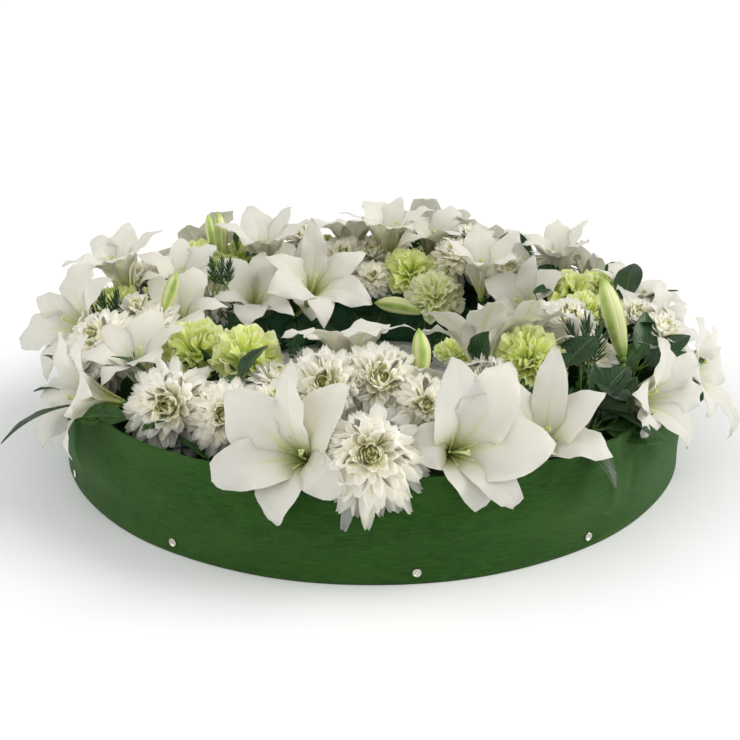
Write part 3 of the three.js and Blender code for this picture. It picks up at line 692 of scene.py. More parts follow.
def lily_petal(g, L, half, turn, inner, opening, mid_bend=0.0, curl=1.0, nt=17, S=None):
    """One tepal in the flower's own frame, as a grid [nt, ns, 3] in mm."""
    t = np.linspace(0, 1, nt)
    # direction of the midrib against the flower's axis, in degrees
    th = np.interp(t, [0, 0.12, 0.28, 0.42, 0.56, 0.72, 0.86, 1.0],
                   [9, 15, 23, 38, 60, 82, 104 * curl, 146 * curl])
    th = np.radians(th * opening + g.normal(0, 2.0))
    th = th + np.radians(g.normal(0, 5)) * smooth01(t, 0.4, 1.0)
    dt = L / (nt - 1)
    r = 3.0 + np.concatenate([[0], np.cumsum((np.sin(th[1:]) + np.sin(th[:-1])) / 2 * dt)])
    z = np.concatenate([[0], np.cumsum((np.cos(th[1:]) + np.cos(th[:-1])) / 2 * dt)])
    T = np.stack([np.sin(th), 0 * th, np.cos(th)], 1)
    N = np.stack([-np.cos(th), 0 * th, np.sin(th)], 1)      # towards the inside of the flower
    peak = 0.56 if inner else 0.50
    f = np.where(t < peak, 0.22 + 0.78 * np.sin(math.pi / 2 * np.clip(t / peak, 0, 1)) ** 1.2,
                 1 - np.clip((t - peak) / (1 - peak), 0, 1) ** (2.5 if inner else 2.1))
    f = np.maximum(f, 0.025)
    w = half * f
    s = (S_LILY if S is None else S)[None, :]
    W = w[:, None] * s
    # cupped in the trumpet, nearly flat in the blade, edges turned back near the tip
    kap = np.interp(t, [0, 0.25, 0.5, 0.75, 1.0], [0.080, 0.030, 0.013 if inner else 0.016, 0.004, -0.012])[:, None]
    lift = np.where(np.abs(kap) > 1e-6, kap * W * W / 2 / (1 + 0.5 * np.abs(kap * W)), 0)
    lift = np.minimum(lift, np.abs(W) * 0.75)
    # midrib groove and the two swells beside it
    lift = lift - 0.85 * np.exp(-(s / 0.10) ** 2) * np.clip(f, 0, 1)[:, None] * (1 - 0.6 * t[:, None]) \
        + 0.65 * np.exp(-((np.abs(s) - 0.30) / 0.18) ** 2) * f[:, None] * (1 - t[:, None])
    # ruffled margins
    amp = (3.2 if inner else 1.7) * smooth01(t, 0.28, 0.6)[:, None] * (1 - 0.5 * smooth01(t, 0.9, 1.0))[:, None]
    ph = g.uniform(0, 2 * math.pi, 2)
    n1, n2 = g.uniform(3.2, 4.6, 2)
    wave = np.where(s > 0, np.sin(2 * math.pi * n1 * t[:, None] + ph[0]), np.sin(2 * math.pi * n2 * t[:, None] + ph[1]))
    lift = lift + amp * wave * np.abs(s) ** 2.4
    bend = (g.normal(0, 5.0) + mid_bend) * smooth01(t, 0.3, 1.0)      # sideways sweep of the tip
    tw = math.radians(g.normal(0, 14)) * smooth01(t, 0.35, 1.0)
    y = (W + bend[:, None]) * np.cos(tw)[:, None] - lift * np.sin(tw)[:, None]
    h = lift * np.cos(tw)[:, None] + W * np.sin(tw)[:, None]
    C = np.stack([r, 0 * r, z], 1)
    if inner:
        C = C + N * 0.9
    P = C[:, None] + N[:, None] * h[..., None]
    P[..., 1] += y
    a = math.radians(turn)
    Rz = np.array([[math.cos(a), -math.sin(a), 0], [math.sin(a), math.cos(a), 0], [0, 0, 1]])
    return P @ Rz.T, t


S_LILY_LOW = np.array([-1, -0.86, -0.5, -0.16, 0.16, 0.5, 0.86, 1.0])


def lily_head(b, g, throat, direction, turn, reach, opening=1.0, petals=None, curl=1.0, low=False):
    """A whole lily flower. petals maps a petal's number to (length, degrees round, opening, tip curl) factors."""
    R = facing(direction, turn)
    L0 = reach * 1.52
    S = S_LILY_LOW if low else S_LILY
    for k in range(6):
        inner = k % 2 == 1
        scale, da, op, cu, wid = (petals or {}).get(k, (1.0, 0.0, 1.0, 1.0, 1.0))
        L = L0 * scale * g.uniform(0.97, 1.04)
        half = L0 * (0.222 if inner else 0.165) * wid * g.uniform(0.94, 1.06)
        P, t = lily_petal(g, L, half, 60 * k + da + g.normal(0, 3.0), inner, opening * op * g.uniform(0.96, 1.05),
                          curl=curl * cu, nt=12 if low else 17, S=S)
        s = np.broadcast_to(S[None, :], P.shape[:2])
        th = 0.95 * (1 - 0.45 * np.abs(s)) * (1 - 0.35 * t[:, None])
        b.sheet(place(P, R, throat), th * MM, along=np.broadcast_to(t[:, None], P.shape[:2]), across=s, tone=g.uniform(), heart=0.5)
    lean = g.normal(0, 1, 2)
    k = np.linspace(0, 1, 6 if low else 8)
    loc = np.stack([lean[0] * 5 * k ** 2, lean[1] * 5 * k ** 2 - 2 * k, 2 + 52 * k * reach / 68], 1)
    b.tube(place(loc, R, throat), np.interp(k, [0, 0.12, 0.9, 1], [2.3, 1.3, 1.35, 1.7]) * MM, sides=6 if low else 8, mat=2, tone=0.5)
    end = loc[-1]
    for j in range(3):
        a = 2 * math.pi * j / 3 + 0.4
        q = np.stack([end + np.array([0, 0, -0.6]), end + np.array([1.6 * math.cos(a), 1.6 * math.sin(a), 1.0]),
                      end + np.array([3.0 * math.cos(a), 3.0 * math.sin(a), 0.8])])
        b.tube(place(q, R, throat), np.array([1.1, 1.6, 0.5]) * MM, sides=6, mat=2, tone=0.8)
    for j in range(6):
        a = math.radians(60 * j + 28 + g.normal(0, 6))
        rad = g.uniform(10, 15)
        k = np.linspace(0, 1, 4 if low else 6)
        loc = np.stack([math.cos(a) * (2 + rad * k ** 1.4), math.sin(a) * (2 + rad * k ** 1.4), 3 + g.uniform(34, 42) * k * reach / 68], 1)
        b.tube(place(loc, R, throat), np.interp(k, [0, 1], [0.95, 0.55]) * MM, sides=5, mat=2, tone=0.3)
    k = np.linspace(0, 1, 5)
    loc = np.stack([0 * k, 0 * k, -6 + 10 * k], 1)
    b.tube(place(loc, R, throat), np.array([3.0, 4.2, 4.8, 4.6, 2.0]) * MM, sides=10, mat=1, tone=0.4)
    return R


def lily(name, throat, direction, turn, reach, foot, **style):
    g = rng(name)
    b = Build()
    R = lily_head(b, g, throat, direction, turn, reach, **style)
    z = R[:, 2]
    bent_stem(b, np.asarray(throat, float) - z * 5.5, foot, 3.1, -z)
    ob = b.object(name + "_bloom", [M_LILY, M_STEM, M_THROAT])
    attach(ob, "root")
    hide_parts(name)
    return ob


def mum_head(b, g, centre, direction, R0, spin=0.0, count=150, droop=0.0, low=False):
    """A spray chrysanthemum bloom: strap petals in a spiral from an incurved heart to a loose outer skirt."""
    R = facing(direction, spin)
    down = R.T @ np.array([0.0, 0.0, -1.0])            # gravity in the bloom's own frame
    for i in range(count):
        u = math.sqrt((i + 0.5) / count)
        a = i * 2.39996323 + g.normal(0, 0.07)
        nt = (5 if low else 7) if u > 0.45 else 5
        t = np.linspace(0, 1, nt)
        L = R0 * (0.22 + 0.80 * u ** 1.15) * g.uniform(0.90, 1.08)
        # angle of the petal above the bloom's plane
        e0 = math.radians(np.interp(u, [0, 0.25, 0.5, 0.75, 0.92, 1.0], [88, 78, 60, 38, 14, -10]) + g.normal(0, 6.5))
        curl = math.radians(np.interp(u, [0, 0.3, 0.6, 0.85, 1.0], [58, 40, 4, -24, -22]) + g.normal(0, 9))
        el = e0 + curl * (t ** 1.3) - math.radians(6) * (u > 0.5)
        base_r = 1.0 + R0 * 0.18 * u
        base_z = R0 * (0.16 - 0.34 * u ** 2)
        dt = L / (nt - 1)
        rr = base_r + np.concatenate([[0], np.cumsum(np.cos((el[1:] + el[:-1]) / 2) * dt)])
        zz = base_z + np.concatenate([[0], np.cumsum(np.sin((el[1:] + el[:-1]) / 2) * dt)])
        half = np.interp(u, [0, 0.3, 0.7, 1.0], [0.050, 0.095, 0.128, 0.135]) * R0 * g.uniform(0.88, 1.12)
        if low:
            half *= 1.15
        f = np.interp(t, [0, 0.35, 0.75, 0.93, 1.0], [0.42, 0.80, 1.0, 0.90, 0.58])
        s = (np.array([-1, -0.35, 0.35, 1.0]) if low else np.array([-1, -0.5, 0, 0.5, 1.0]))[None, :]
        W = half * f[:, None] * s
        notch = (np.array([-0.08, 0.02, -0.03, -0.07]) if low else np.array([-0.10, 0.015, -0.05, 0.02, -0.09])) * g.uniform(0.6, 1.2)
        push = (t[:, None] ** 6) * notch[None, :] * min(L, 30)
        cup = (0.42 if u < 0.75 else 0.26) * half * (1 - s ** 2) * (0.6 + 0.4 * t[:, None])
        tw = math.radians(g.normal(0, 12)) * t[:, None]
        ce, se = np.cos(el)[:, None], np.sin(el)[:, None]
        off = -cup + W * np.sin(tw)
        Xr = rr[:, None] + push * ce - off * se * 1.0
        Zr = zz[:, None] + push * se + off * ce
        Y = W * np.cos(tw) + g.normal(0, 0.05) * L * t[:, None] ** 2
        ca, sa = math.cos(a), math.sin(a)
        P = np.stack([Xr * ca - Y * sa, Xr * sa + Y * ca, np.broadcast_to(Zr, Xr.shape)], -1)
        if u > 0.55:
            # the loose outer petals hang a little
            sag = (u - 0.55) / 0.45 * (t[:, None, None] ** 1.6) * R0 * (0.12 + droop) * g.uniform(0.5, 1.4)
            P = P + down[None, None, :] * sag
        rad = np.linalg.norm(P[..., :2], axis=-1) / R0
        th = 0.55 * np.ones(P.shape[:2]) * (0.7 + 0.5 * (1 - t[:, None]))
        b.sheet(place(P, R, centre), th * MM, mat=0, along=np.broadcast_to(t[:, None], P.shape[:2]),
                across=np.broadcast_to(s, P.shape[:2]), tone=g.uniform(), heart=rad)
    # the unopened florets at the very middle
    for i in range(8 if low else 16):
        u = math.sqrt((i + 0.5) / 16)
        a = i * 2.39996323
        r = R0 * 0.085 * u
        base = np.array([r * math.cos(a), r * math.sin(a), R0 * 0.16])
        tip = base + np.array([0.6 * math.cos(a), 0.6 * math.sin(a), 1]) * R0 * 0.12
        b.tube(place(np.stack([base, base * 0.45 + tip * 0.55, tip]), R, centre), np.array([0.9, 1.1, 0.4]) * MM * R0 / 36,
               sides=6, mat=0, heart=0.05, tone=0.3)
    # green cup behind
    k = np.linspace(0, 1, 6)
    loc = np.stack([0 * k, 0 * k, -R0 * 0.42 + R0 * 0.36 * k], 1)
    b.tube(place(loc, R, centre), np.interp(k, [0, 0.3, 0.7, 1.0], [0.08, 0.15, 0.27, 0.20]) * R0 * MM, sides=12, mat=1, tone=0.4)
    return R


def mum(name, centre, direction, R0, foot, droop=0.0, side=None, count=160):
    g = rng(name)
    b = Build()
    R = mum_head(b, g, centre, direction, R0, spin=g.uniform(0, 360), count=count, droop=droop)
    o = np.asarray(centre, float)
    back = o - unit(direction) * R0 * 0.40
    bent_stem(b, back, foot, 2.1, -unit(direction))
    if side:
        mum_head(b, g, side[0], side[1], side[2], spin=g.uniform(0, 360), count=120)
        sb = np.asarray(side[0], float) - unit(side[1]) * side[2] * 0.40
        fork = np.asarray(foot, float) + (o - np.asarray(foot, float)) * 0.35
        bent_stem(b, sb, fork, 1.6, -unit(side[1]))
    ob = b.object(name + "_bloom", [M_MUM, M_STEM])
    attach(ob, "root")
    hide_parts(name)
    return ob


def carnation_head(b, g, centre, direction, R0, count=44, low=False):
    R = facing(direction, g.uniform(0, 360))
    s = np.linspace(-1, 1, 9 if low else 13)[None, :]
    nt = 6 if low else 8
    t = np.linspace(0, 1, nt)
    for i in range(count):
        u = math.sqrt((i + 0.5) / count)
        a = i * 2.39996323 + g.normal(0, 0.15)
        L = R0 * np.interp(u, [0, 0.5, 1.0], [0.84, 1.0, 1.10]) * g.uniform(0.90, 1.08)
        e0 = math.radians(np.interp(u, [0, 0.4, 0.75, 1.0], [88, 66, 40, 26]) + g.normal(0, 7))
        e1 = math.radians(np.interp(u, [0, 0.4, 0.75, 1.0], [82, 46, 12, -18]) + g.normal(0, 10))
        el = e0 + (e1 - e0) * t
        dt = L / (nt - 1)
        rr = 1.5 + 3.5 * u + np.concatenate([[0], np.cumsum(np.cos((el[1:] + el[:-1]) / 2) * dt)])
        zz = -R0 * 0.62 + np.concatenate([[0], np.cumsum(np.sin((el[1:] + el[:-1]) / 2) * dt)]) + R0 * 0.10 * (1 - u)
        half = R0 * 0.50 * g.uniform(0.85, 1.12) * np.interp(t, [0, 0.3, 0.6, 0.85, 1.0], [0.12, 0.34, 0.74, 1.0, 1.05])
        fan = half[:, None] * s
        # fan-shaped outline: the rim is an arc, cut into small teeth
        arc = -0.16 * R0 * (s ** 2) * t[:, None] ** 2
        teeth = (np.abs(((s * 5.5 + g.uniform(0, 1)) % 1.0) - 0.5) * 2 - 0.5) * 0.09 * R0 * (t[:, None] ** 10)
        ph = g.uniform(0, 6.28, 3)
        ruff = (np.sin(s * 4.2 + ph[0] + 1.5 * t[:, None]) * 0.12 + np.sin(s * 8.5 + ph[1]) * 0.055) * R0 * (t[:, None] ** 1.5)
        ce, se = np.cos(el)[:, None], np.sin(el)[:, None]
        Xr = rr[:, None] + (arc + teeth) * ce - ruff * se
        Zr = zz[:, None] + (arc + teeth) * se + ruff * ce
        ang = a + fan / np.maximum(rr[:, None] + R0 * 0.35, 8.0)
        P = np.stack([Xr * np.cos(ang), Xr * np.sin(ang), Zr], -1)
        th = 0.45 * np.ones(P.shape[:2])
        hr = np.linalg.norm(P[..., :2], axis=-1) / R0
        b.sheet(place(P, R, centre), th * MM, mat=0, along=np.broadcast_to(t[:, None], P.shape[:2]),
                across=np.broadcast_to(s, P.shape[:2]), tone=g.uniform(), heart=hr)
    k = np.linspace(0, 1, 8)
    zc = -R0 * 1.22 + R0 * 0.72 * k
    loc = np.stack([0 * k, 0 * k, zc], 1)
    b.tube(place(loc, R, centre), np.interp(k, [0, 0.15, 0.6, 1.0], [0.10, 0.19, 0.25, 0.22]) * R0 * MM, sides=12, mat=1, tone=0.3)


def carnation(name, centre, direction, R0, foot, cream=False, count=44):
    g = rng(name)
    b = Build()
    carnation_head(b, g, centre, direction, R0, count)
    o = np.asarray(centre, float)
    bent_stem(b, o - unit(direction) * R0 * 1.2, foot, 2.1, -unit(direction))
    ob = b.object(name + "_bloom", [M_CARN_CREAM if cream else M_CARN, M_STEM])
    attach(ob, "root")
    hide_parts(name)
    return ob


def bud_shape(b, g, base, tip, Rm, mat=0, nt=22, sides=24):
    """A closed lily bud: three outer petals folded round, with their edges showing as grooves."""
    base, tip = np.asarray(base, float), np.asarray(tip, float)
    d = tip - base
    L = np.linalg.norm(d)
    R = facing(d, g.uniform(0, 120))
    t = np.linspace(0, 1, nt)
    f = np.interp(t, [0, 0.05, 0.18, 0.40, 0.62, 0.80, 0.93, 1.0], [0.30, 0.46, 0.72, 0.94, 1.0, 0.80, 0.46, 0.10])
    # smooth the outline
    for _ in range(2):
        f[1:-1] = (f[:-2] + 2 * f[1:-1] + f[2:]) / 4
    ang = np.arange(sides) * 2 * math.pi / sides
    seg = (ang * 3 / (2 * math.pi)) % 1.0            # 0..1 over each outer petal
    ac = seg * 2 - 1
    groove = 1 - 0.15 * np.exp(-((1 - np.abs(ac)) / 0.16) ** 2) + 0.05 * np.exp(-(ac / 0.22) ** 2)
    r = Rm * f[:, None] * groove[None, :]
    bow = Rm * 0.28 * np.sin(t * math.pi)
    V = np.stack([r * np.cos(ang) + bow[:, None], r * np.sin(ang), np.broadcast_to((t * L)[:, None], r.shape)], -1)
    idx = np.arange(nt * sides).reshape(nt, sides)
    nx = np.roll(idx, -1, axis=1)
    q = np.stack([idx[:-1], nx[:-1], nx[1:], idx[1:]], -1).reshape(-1, 4)
    verts = np.concatenate([V.reshape(-1, 3), [[0, 0, -Rm * 0.1]], [[0, 0, L + Rm * 0.12]]])
    s0, e0 = nt * sides, nt * sides + 1
    t0 = np.stack([np.full(sides, s0), nx[0], idx[0]], -1)
    t1 = np.stack([np.full(sides, e0), idx[-1], nx[-1]], -1)
    al = np.concatenate([np.repeat(t, sides), [0, 1]])
    acv = np.concatenate([np.tile(ac, nt), [0, 0]])
    b.put(place(verts, R, base), quads=q, tris=np.concatenate([t0, t1]), mat=mat, along=al, across=acv, tone=g.uniform())
    return unit(d)


def bud(name, base, tip, Rm, foot, twin=False):
    g = rng(name)
    b = Build()
    d = bud_shape(b, g, base, tip, Rm)
    if twin:
        side = unit(np.cross(d, [0.0, -1.0, 0.3]))
        B, Tp = np.asarray(base, float), np.asarray(tip, float)
        bud_shape(b, g, B + side * 9, Tp + side * 12 + np.array([0, 0, 2.0]), Rm * 0.95)
        k = np.linspace(0, 1, 5)[:, None]
        b.tube((B - d * 12 + (side * 9 + d * 12) * k) * MM, np.linspace(1.8, 2.0, 5) * MM, sides=8, mat=1, tone=0.5)
    k = np.linspace(0, 1, 4)
    loc = np.asarray(base, float)[None] + d[None] * (-5 + 7 * k)[:, None]
    b.tube(loc * MM, np.array([2.2, 3.0, 3.4, 2.4]) * Rm / 10 * MM, sides=10, mat=1, tone=0.4)
    bent_stem(b, np.asarray(base, float) - d * 4, foot, 2.3, -d)
    ob = b.object(name + "_bloom", [M_BUD, M_STEM])
    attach(ob, "root")
    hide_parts(name)
    return ob


# ------------------------------------------------------------------ foliage
S_LEAF = np.array([-1, -0.93, -0.6, -0.25, -0.06, 0.06, 0.25, 0.6, 0.93, 1.0])


def leaf(b, g, base, tip, width, mat=0, fold=0.28, arch=0.10, roll=0.0, up=None, nt=13):
    """A broad evergreen leaf from base to tip: folded along the midrib and arched."""
    base, tip = np.asarray(base, float), np.asarray(tip, float)
    d = tip - base
    L = np.linalg.norm(d)
    x = d / L
    u = UP_HINT if up is None else np.asarray(up, float)
    y = np.cross(u, x)
    if np.linalg.norm(y) < 1e-3:
        y = np.cross([0.0, 1.0, 0.0], x)
    y = unit(y)
    z = np.cross(x, y)
    c, s_ = math.cos(math.radians(roll)), math.sin(math.radians(roll))
    y, z = y * c + z * s_, z * c - y * s_
    t = np.linspace(0, 1, nt)
    f = np.where(t < 0.42, 0.06 + 0.94 * np.sin(math.pi / 2 * np.clip(t / 0.42, 0, 1)) ** 0.95,
                 np.clip(1 - np.clip((t - 0.42) / 0.58, 0, 1) ** 2.1, 0, 1) ** 0.92)
    f = np.maximum(f, 0.03)
    s = S_LEAF[None, :]
    W = width / 2 * f[:, None] * s
    h = fold * np.abs(W) + arch * L * (4 * t * (1 - t))[:, None] - 0.02 * L * (t ** 3)[:, None]
    h = h + 0.018 * width * np.sin(2 * math.pi * (3.3 * t[:, None] + g.uniform())) * np.abs(s) ** 2
    h = h - 0.35 * np.exp(-(s / 0.10) ** 2)
    sweep = g.normal(0, 0.03) * L * (t ** 2)[:, None]
    P = base + x * (L * t)[:, None, None] + y * (W + sweep)[..., None] + z * h[..., None]
    th = 0.55 * np.ones(P.shape[:2])
    b.sheet(P * MM, th * MM, mat=mat, along=np.broadcast_to(t[:, None], P.shape[:2]), across=np.broadcast_to(s, P.shape[:2]), tone=g.uniform())
    return x


def twig(b, a, c, r0, r1, sag=0.0, mat=1):
    a, c = np.asarray(a, float), np.asarray(c, float)
    k = np.linspace(0, 1, 6)[:, None]
    path = a + (c - a) * k + np.array([0, 0, 1.0]) * sag * np.sin(math.pi * k)
    b.tube(path * MM, np.linspace(r0, r1, 6) * MM, sides=6, mat=mat, tone=0.4)


def needle_sprig(b, g, base, tip, length=20.0, rows=11, mat=2, stem_mat=1, width=1.05, spread=46):
    """Rosemary-like tip: narrow needles round a short stem."""
    base, tip = np.asarray(base, float), np.asarray(tip, float)
    d = unit(tip - base)
    L = np.linalg.norm(tip - base)
    R = facing(d)
    twig(b, base, tip, 1.1, 0.5, mat=stem_mat)
    for i in range(rows):
        u = (i + 0.5) / rows
        o = base + (tip - base) * u
        for j in range(4):
            a = 2 * math.pi * j / 4 + i * 0.9 + g.normal(0, 0.2)
            e = math.radians(spread * (1 - 0.65 * u) + g.normal(0, 6))
            dirn = R @ np.array([math.cos(a) * math.sin(e), math.sin(a) * math.sin(e), math.cos(e)])
            ln = length * (0.75 + 0.35 * math.sin(math.pi * min(1, u + 0.15))) * g.uniform(0.85, 1.1)
            k = np.linspace(0, 1, 4)[:, None]
            bend = R @ np.array([math.cos(a), math.sin(a), 0]) * (-0.10 * ln)
            path = o + dirn * ln * k + bend * (k ** 2)
            b.tube(path * MM, np.array([0.55, 1.0, 0.85, 0.12]) * width * MM, sides=5, mat=mat, squash=0.5, tone=g.uniform(), across=0.5)


def fern_frond(b, g, base, tip, width=30.0, pairs=12, mat=3, up=None, stem_mat=1):
    """A flat feathery frond: pairs of narrow toothed leaflets on a thin rib."""
    base, tip = np.asarray(base, float), np.asarray(tip, float)
    d = tip - base
    L = np.linalg.norm(d)
    x = d / L
    u = UP_HINT if up is None else np.asarray(up, float)
    y = unit(np.cross(u, x))
    z = np.cross(x, y)
    arch = 0.10 * L
    k = np.linspace(0, 1, 7)[:, None]
    rib = base + d * k + z * arch * (4 * k * (1 - k))
    b.tube(rib * MM, np.linspace(0.8, 0.35, 7) * MM, sides=5, mat=stem_mat, tone=0.5)
    s = np.array([-1, -0.4, 0.4, 1.0])[None, :]
    for i in range(pairs):
        v = 0.10 + 0.88 * i / (pairs - 1)
        o = base + d * v + z * arch * (4 * v * (1 - v))
        ln = width / 2 * math.sin(math.pi * min(1.0, 0.18 + 0.82 * v) ** 0.8) + 3.0
        for sg in (-1, 1):
            dirn = unit(x * 0.55 + y * sg * 0.9 + z * g.normal(0.05, 0.08))
            side = unit(np.cross(z, dirn))
            nt = 6
            t = np.linspace(0, 1, nt)
            w = np.array([0.5, 1.0, 1.0, 0.8, 0.5, 0.12]) * max(1.5, L / pairs * 0.46)
            P = o + dirn * (ln * t)[:, None, None] + side * (w[:, None] * s)[..., None] - z * (0.10 * ln * t ** 2)[:, None, None]
            b.sheet(P * MM, 0.4 * MM * np.ones(P.shape[:2]), mat=mat, along=np.broadcast_to(t[:, None], P.shape[:2]),
                    across=np.broadcast_to(s, P.shape[:2]) * 0.6 + 0.2, tone=g.uniform())


LEAF_MATS = [M_LEAF, M_STEM, M_NEEDLE, M_FERN, M_LEAF_MID]


def leaf_spray(name, fork, foot, leaves):
    g = rng(name)
    b = Build()
    for base, tip, width in leaves:
        leaf(b, g, base, tip, width, fold=0.22, arch=0.08)
        twig(b, fork, np.asarray(base, float) + unit(np.asarray(tip, float) - np.asarray(base, float)) * 1.5, 1.3, 0.9)
    twig(b, foot, fork, 1.7, 1.4)
    ob = b.object(name + "_leaves", LEAF_MATS)
    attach(ob, "root")
    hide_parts(name)
    return ob


# ------------------------------------------------------------------ build the planting
def check_place(name, point):
    lo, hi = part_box(name)
    for i in range(3):
        if not lo[i] - 0.016 <= point[i] * MM <= hi[i] + 0.016:
            raise SystemExit(f"{name}: the bloom is not where the CAD node is")


# per petal: length, degrees round from its even place, opening, tip curl, width
LILY_STYLE = {
    "lily_01": dict(opening=1.02, petals={0: (0.93, 0, 1.12, 1.15, 1.20), 1: (0.80, 18, 1.0, 1.0, 0.80), 2: (0.95, 31, 1.0, 1.0, 1.25),
                                          3: (1.12, 10, 0.80, 0.85, 0.62), 4: (1.10, 4, 0.98, 0.95, 1.60), 5: (1.05, 10, 1.04, 1.0, 0.95)}),
    "lily_02": dict(opening=1.02, petals={0: (0.80, 0, 1.15, 1.2, 1.10), 1: (0.98, -27, 1.05, 1.15, 0.66), 2: (1.08, -44, 1.0, 0.9, 1.70),
                                          3: (1.12, -46, 0.92, 0.95, 1.0), 4: (1.05, -63, 0.92, 0.95, 1.35), 5: (0.62, -59, 1.0, 1.0, 0.8)}),
    "lily_03": dict(opening=0.82, petals={0: (0.55, 10, 0.62, 0.5, 0.9), 1: (0.86, 14, 1.1, 1.1, 0.80), 2: (0.98, 4, 1.0, 1.15, 1.15),
                                          3: (1.16, -6, 0.95, 0.9, 0.72), 4: (1.12, -6, 0.92, 0.9, 1.1), 5: (0.98, -14, 1.1, 1.0, 0.8)}),
    "lily_04": dict(opening=0.88, petals={0: (1.05, 6, 1.1, 1.2, 1.1), 1: (0.95, 0, 1.0, 1.1, 0.85), 2: (1.0, 0, 1.0, 1.0, 1.2),
                                          3: (1.1, 0, 0.9, 1.0, 0.9), 4: (1.0, 0, 0.9, 1.0, 1.1), 5: (0.75, 0, 0.9, 1.0, 0.8)}),
    "lily_05": dict(opening=0.9, petals={0: (1.3, 0, 1.15, 1.0, 0.7)}),
    "lily_06": dict(opening=0.92),
    "lily_07": dict(opening=0.95),
    "lily_08": dict(opening=0.72),
    "lily_09": dict(opening=0.82, petals={3: (1.05, 0, 0.8, 0.9, 0.7), 5: (1.1, 0, 1.0, 0.9, 1.0)}),
    "lily_10": dict(opening=0.62),
    "lily_11": dict(opening=0.72),
    "lily_12": dict(opening=0.60),
    "lily_13": dict(opening=0.55),
    "lily_14": dict(opening=0.80),
    "lily_15": dict(opening=0.80),
    "lily_16": dict(opening=0.88),
}
for name, throat, d, turn, reach, foot in LILY:
    check_place(name, throat)
    lily(name, throat, d, turn, reach, foot, **LILY_STYLE.get(name, {}))
for name, c, d, R0, foot in MUM:
    check_place(name, c)
    mum(name, c, d, R0, foot, side=MUM_SIDE.get(name), droop=0.34 if name == "mum_03" else 0.14 if name == "mum_01" else 0.04)
for name, c, d, R0, foot in CARNATION:
    check_place(name, c)
    carnation(name, c, d, R0, foot, cream=name == "carnation_06")
for name, base, tip, Rm, foot in BUD:
    check_place(name, base)
    bud(name, base, tip, Rm, foot, twin=name == "lily_bud_01")
for name, fork, foot, leaves in LEAF_SPRAY:
    check_place(name, fork)
    leaf_spray(name, fork, foot, leaves)


def foam_foot(p, lean=0.6):
    """Where a stem from p enters the foam: under the head, drawn towards the middle of the foam's top."""
    x, y = p[0], p[1]
    r, a = math.hypot(x, y), math.atan2(x, -y)
    rf = min(max(254 + (r - 254) * lean, 224), 286)
    return (rf * math.sin(a), -rf * math.cos(a), 60.0)


groups = {}
for i, (kind, pos, d, size) in enumerate(EXTRA):
    g = rng("extra", i, kind)
    sector = int((math.degrees(math.atan2(pos[0], -pos[1])) % 360) // 90) + 1
    key = (kind, sector)
    b = groups.setdefault(key, Build())
    o = np.asarray(pos, float)
    if kind == "lily":
        lily_head(b, g, pos, d, g.uniform(0, 360), size, opening=g.uniform(0.78, 0.95), low=True)
        bent_stem(b, o - unit(d) * 5.5, foam_foot(o - unit(d) * 20), 2.9, -unit(d))
    elif kind == "mum":
        mum_head(b, g, pos, d, size, spin=g.uniform(0, 360), count=104 if size > 30 else 84, low=True)
        bent_stem(b, o - unit(d) * size * 0.4, foam_foot(o - unit(d) * 20), 1.9, -unit(d))
    elif kind == "carn":
        carnation_head(b, g, pos, d, size, count=34, low=True)
        bent_stem(b, o - unit(d) * size * 1.2, foam_foot(o - unit(d) * 25), 1.9, -unit(d))
    else:
        q = o - unit(d) * 26
        for j in range(3):
            a = g.uniform(0, 2 * math.pi) + j * 2.1
            out = facing(d) @ np.array([math.cos(a), math.sin(a), 0.55])
            leaf(b, g, q + out * 6, q + out * g.uniform(50, 62), g.uniform(24, 30), mat=0 if g.uniform() < 0.7 else 4, fold=0.2, arch=0.05, up=d)
            twig(b, q - unit(d) * 8, q + out * 8, 1.3, 0.9)
        twig(b, foam_foot(q), q - unit(d) * 7, 1.6, 1.3)
KIND = {"lily": ("lily_petal", [M_LILY, M_STEM, M_THROAT]), "mum": ("mum_petal", [M_MUM, M_STEM]),
        "carn": ("carnation_petal", [M_CARN, M_STEM]), "leaf": ("leaf", LEAF_MATS)}
for (kind, sector), b in sorted(groups.items()):
    ob = b.object(f"fill_{kind}_{sector}", KIND[kind][1])
    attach(ob, "root")


lone = Build()
for i, (base, tip, width, mat) in enumerate(LONE_LEAF):
    g = rng("lone", i)
    d = unit(np.subtract(tip, base))
    leaf(lone, g, base, tip, width, mat=mat, fold=0.16, arch=0.06, up=UP_HINT + np.array([0.0, -0.55, 0.0]), nt=15)
    twig(lone, foam_foot(np.asarray(base, float) - d * 20), np.asarray(base, float) + d * 2, 1.5, 1.0)
for i, (base, tip, length) in enumerate(SPRIG):
    g = rng("sprig", i)
    needle_sprig(lone, g, base, tip, length=length, rows=9)
    twig(lone, foam_foot(base), base, 1.3, 1.1)
ob = lone.object("fill_leaves_and_sprigs", LEAF_MATS)
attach(ob, "root")


def polar(a, r, z):
    return np.array([r * math.sin(a), -r * math.cos(a), z])


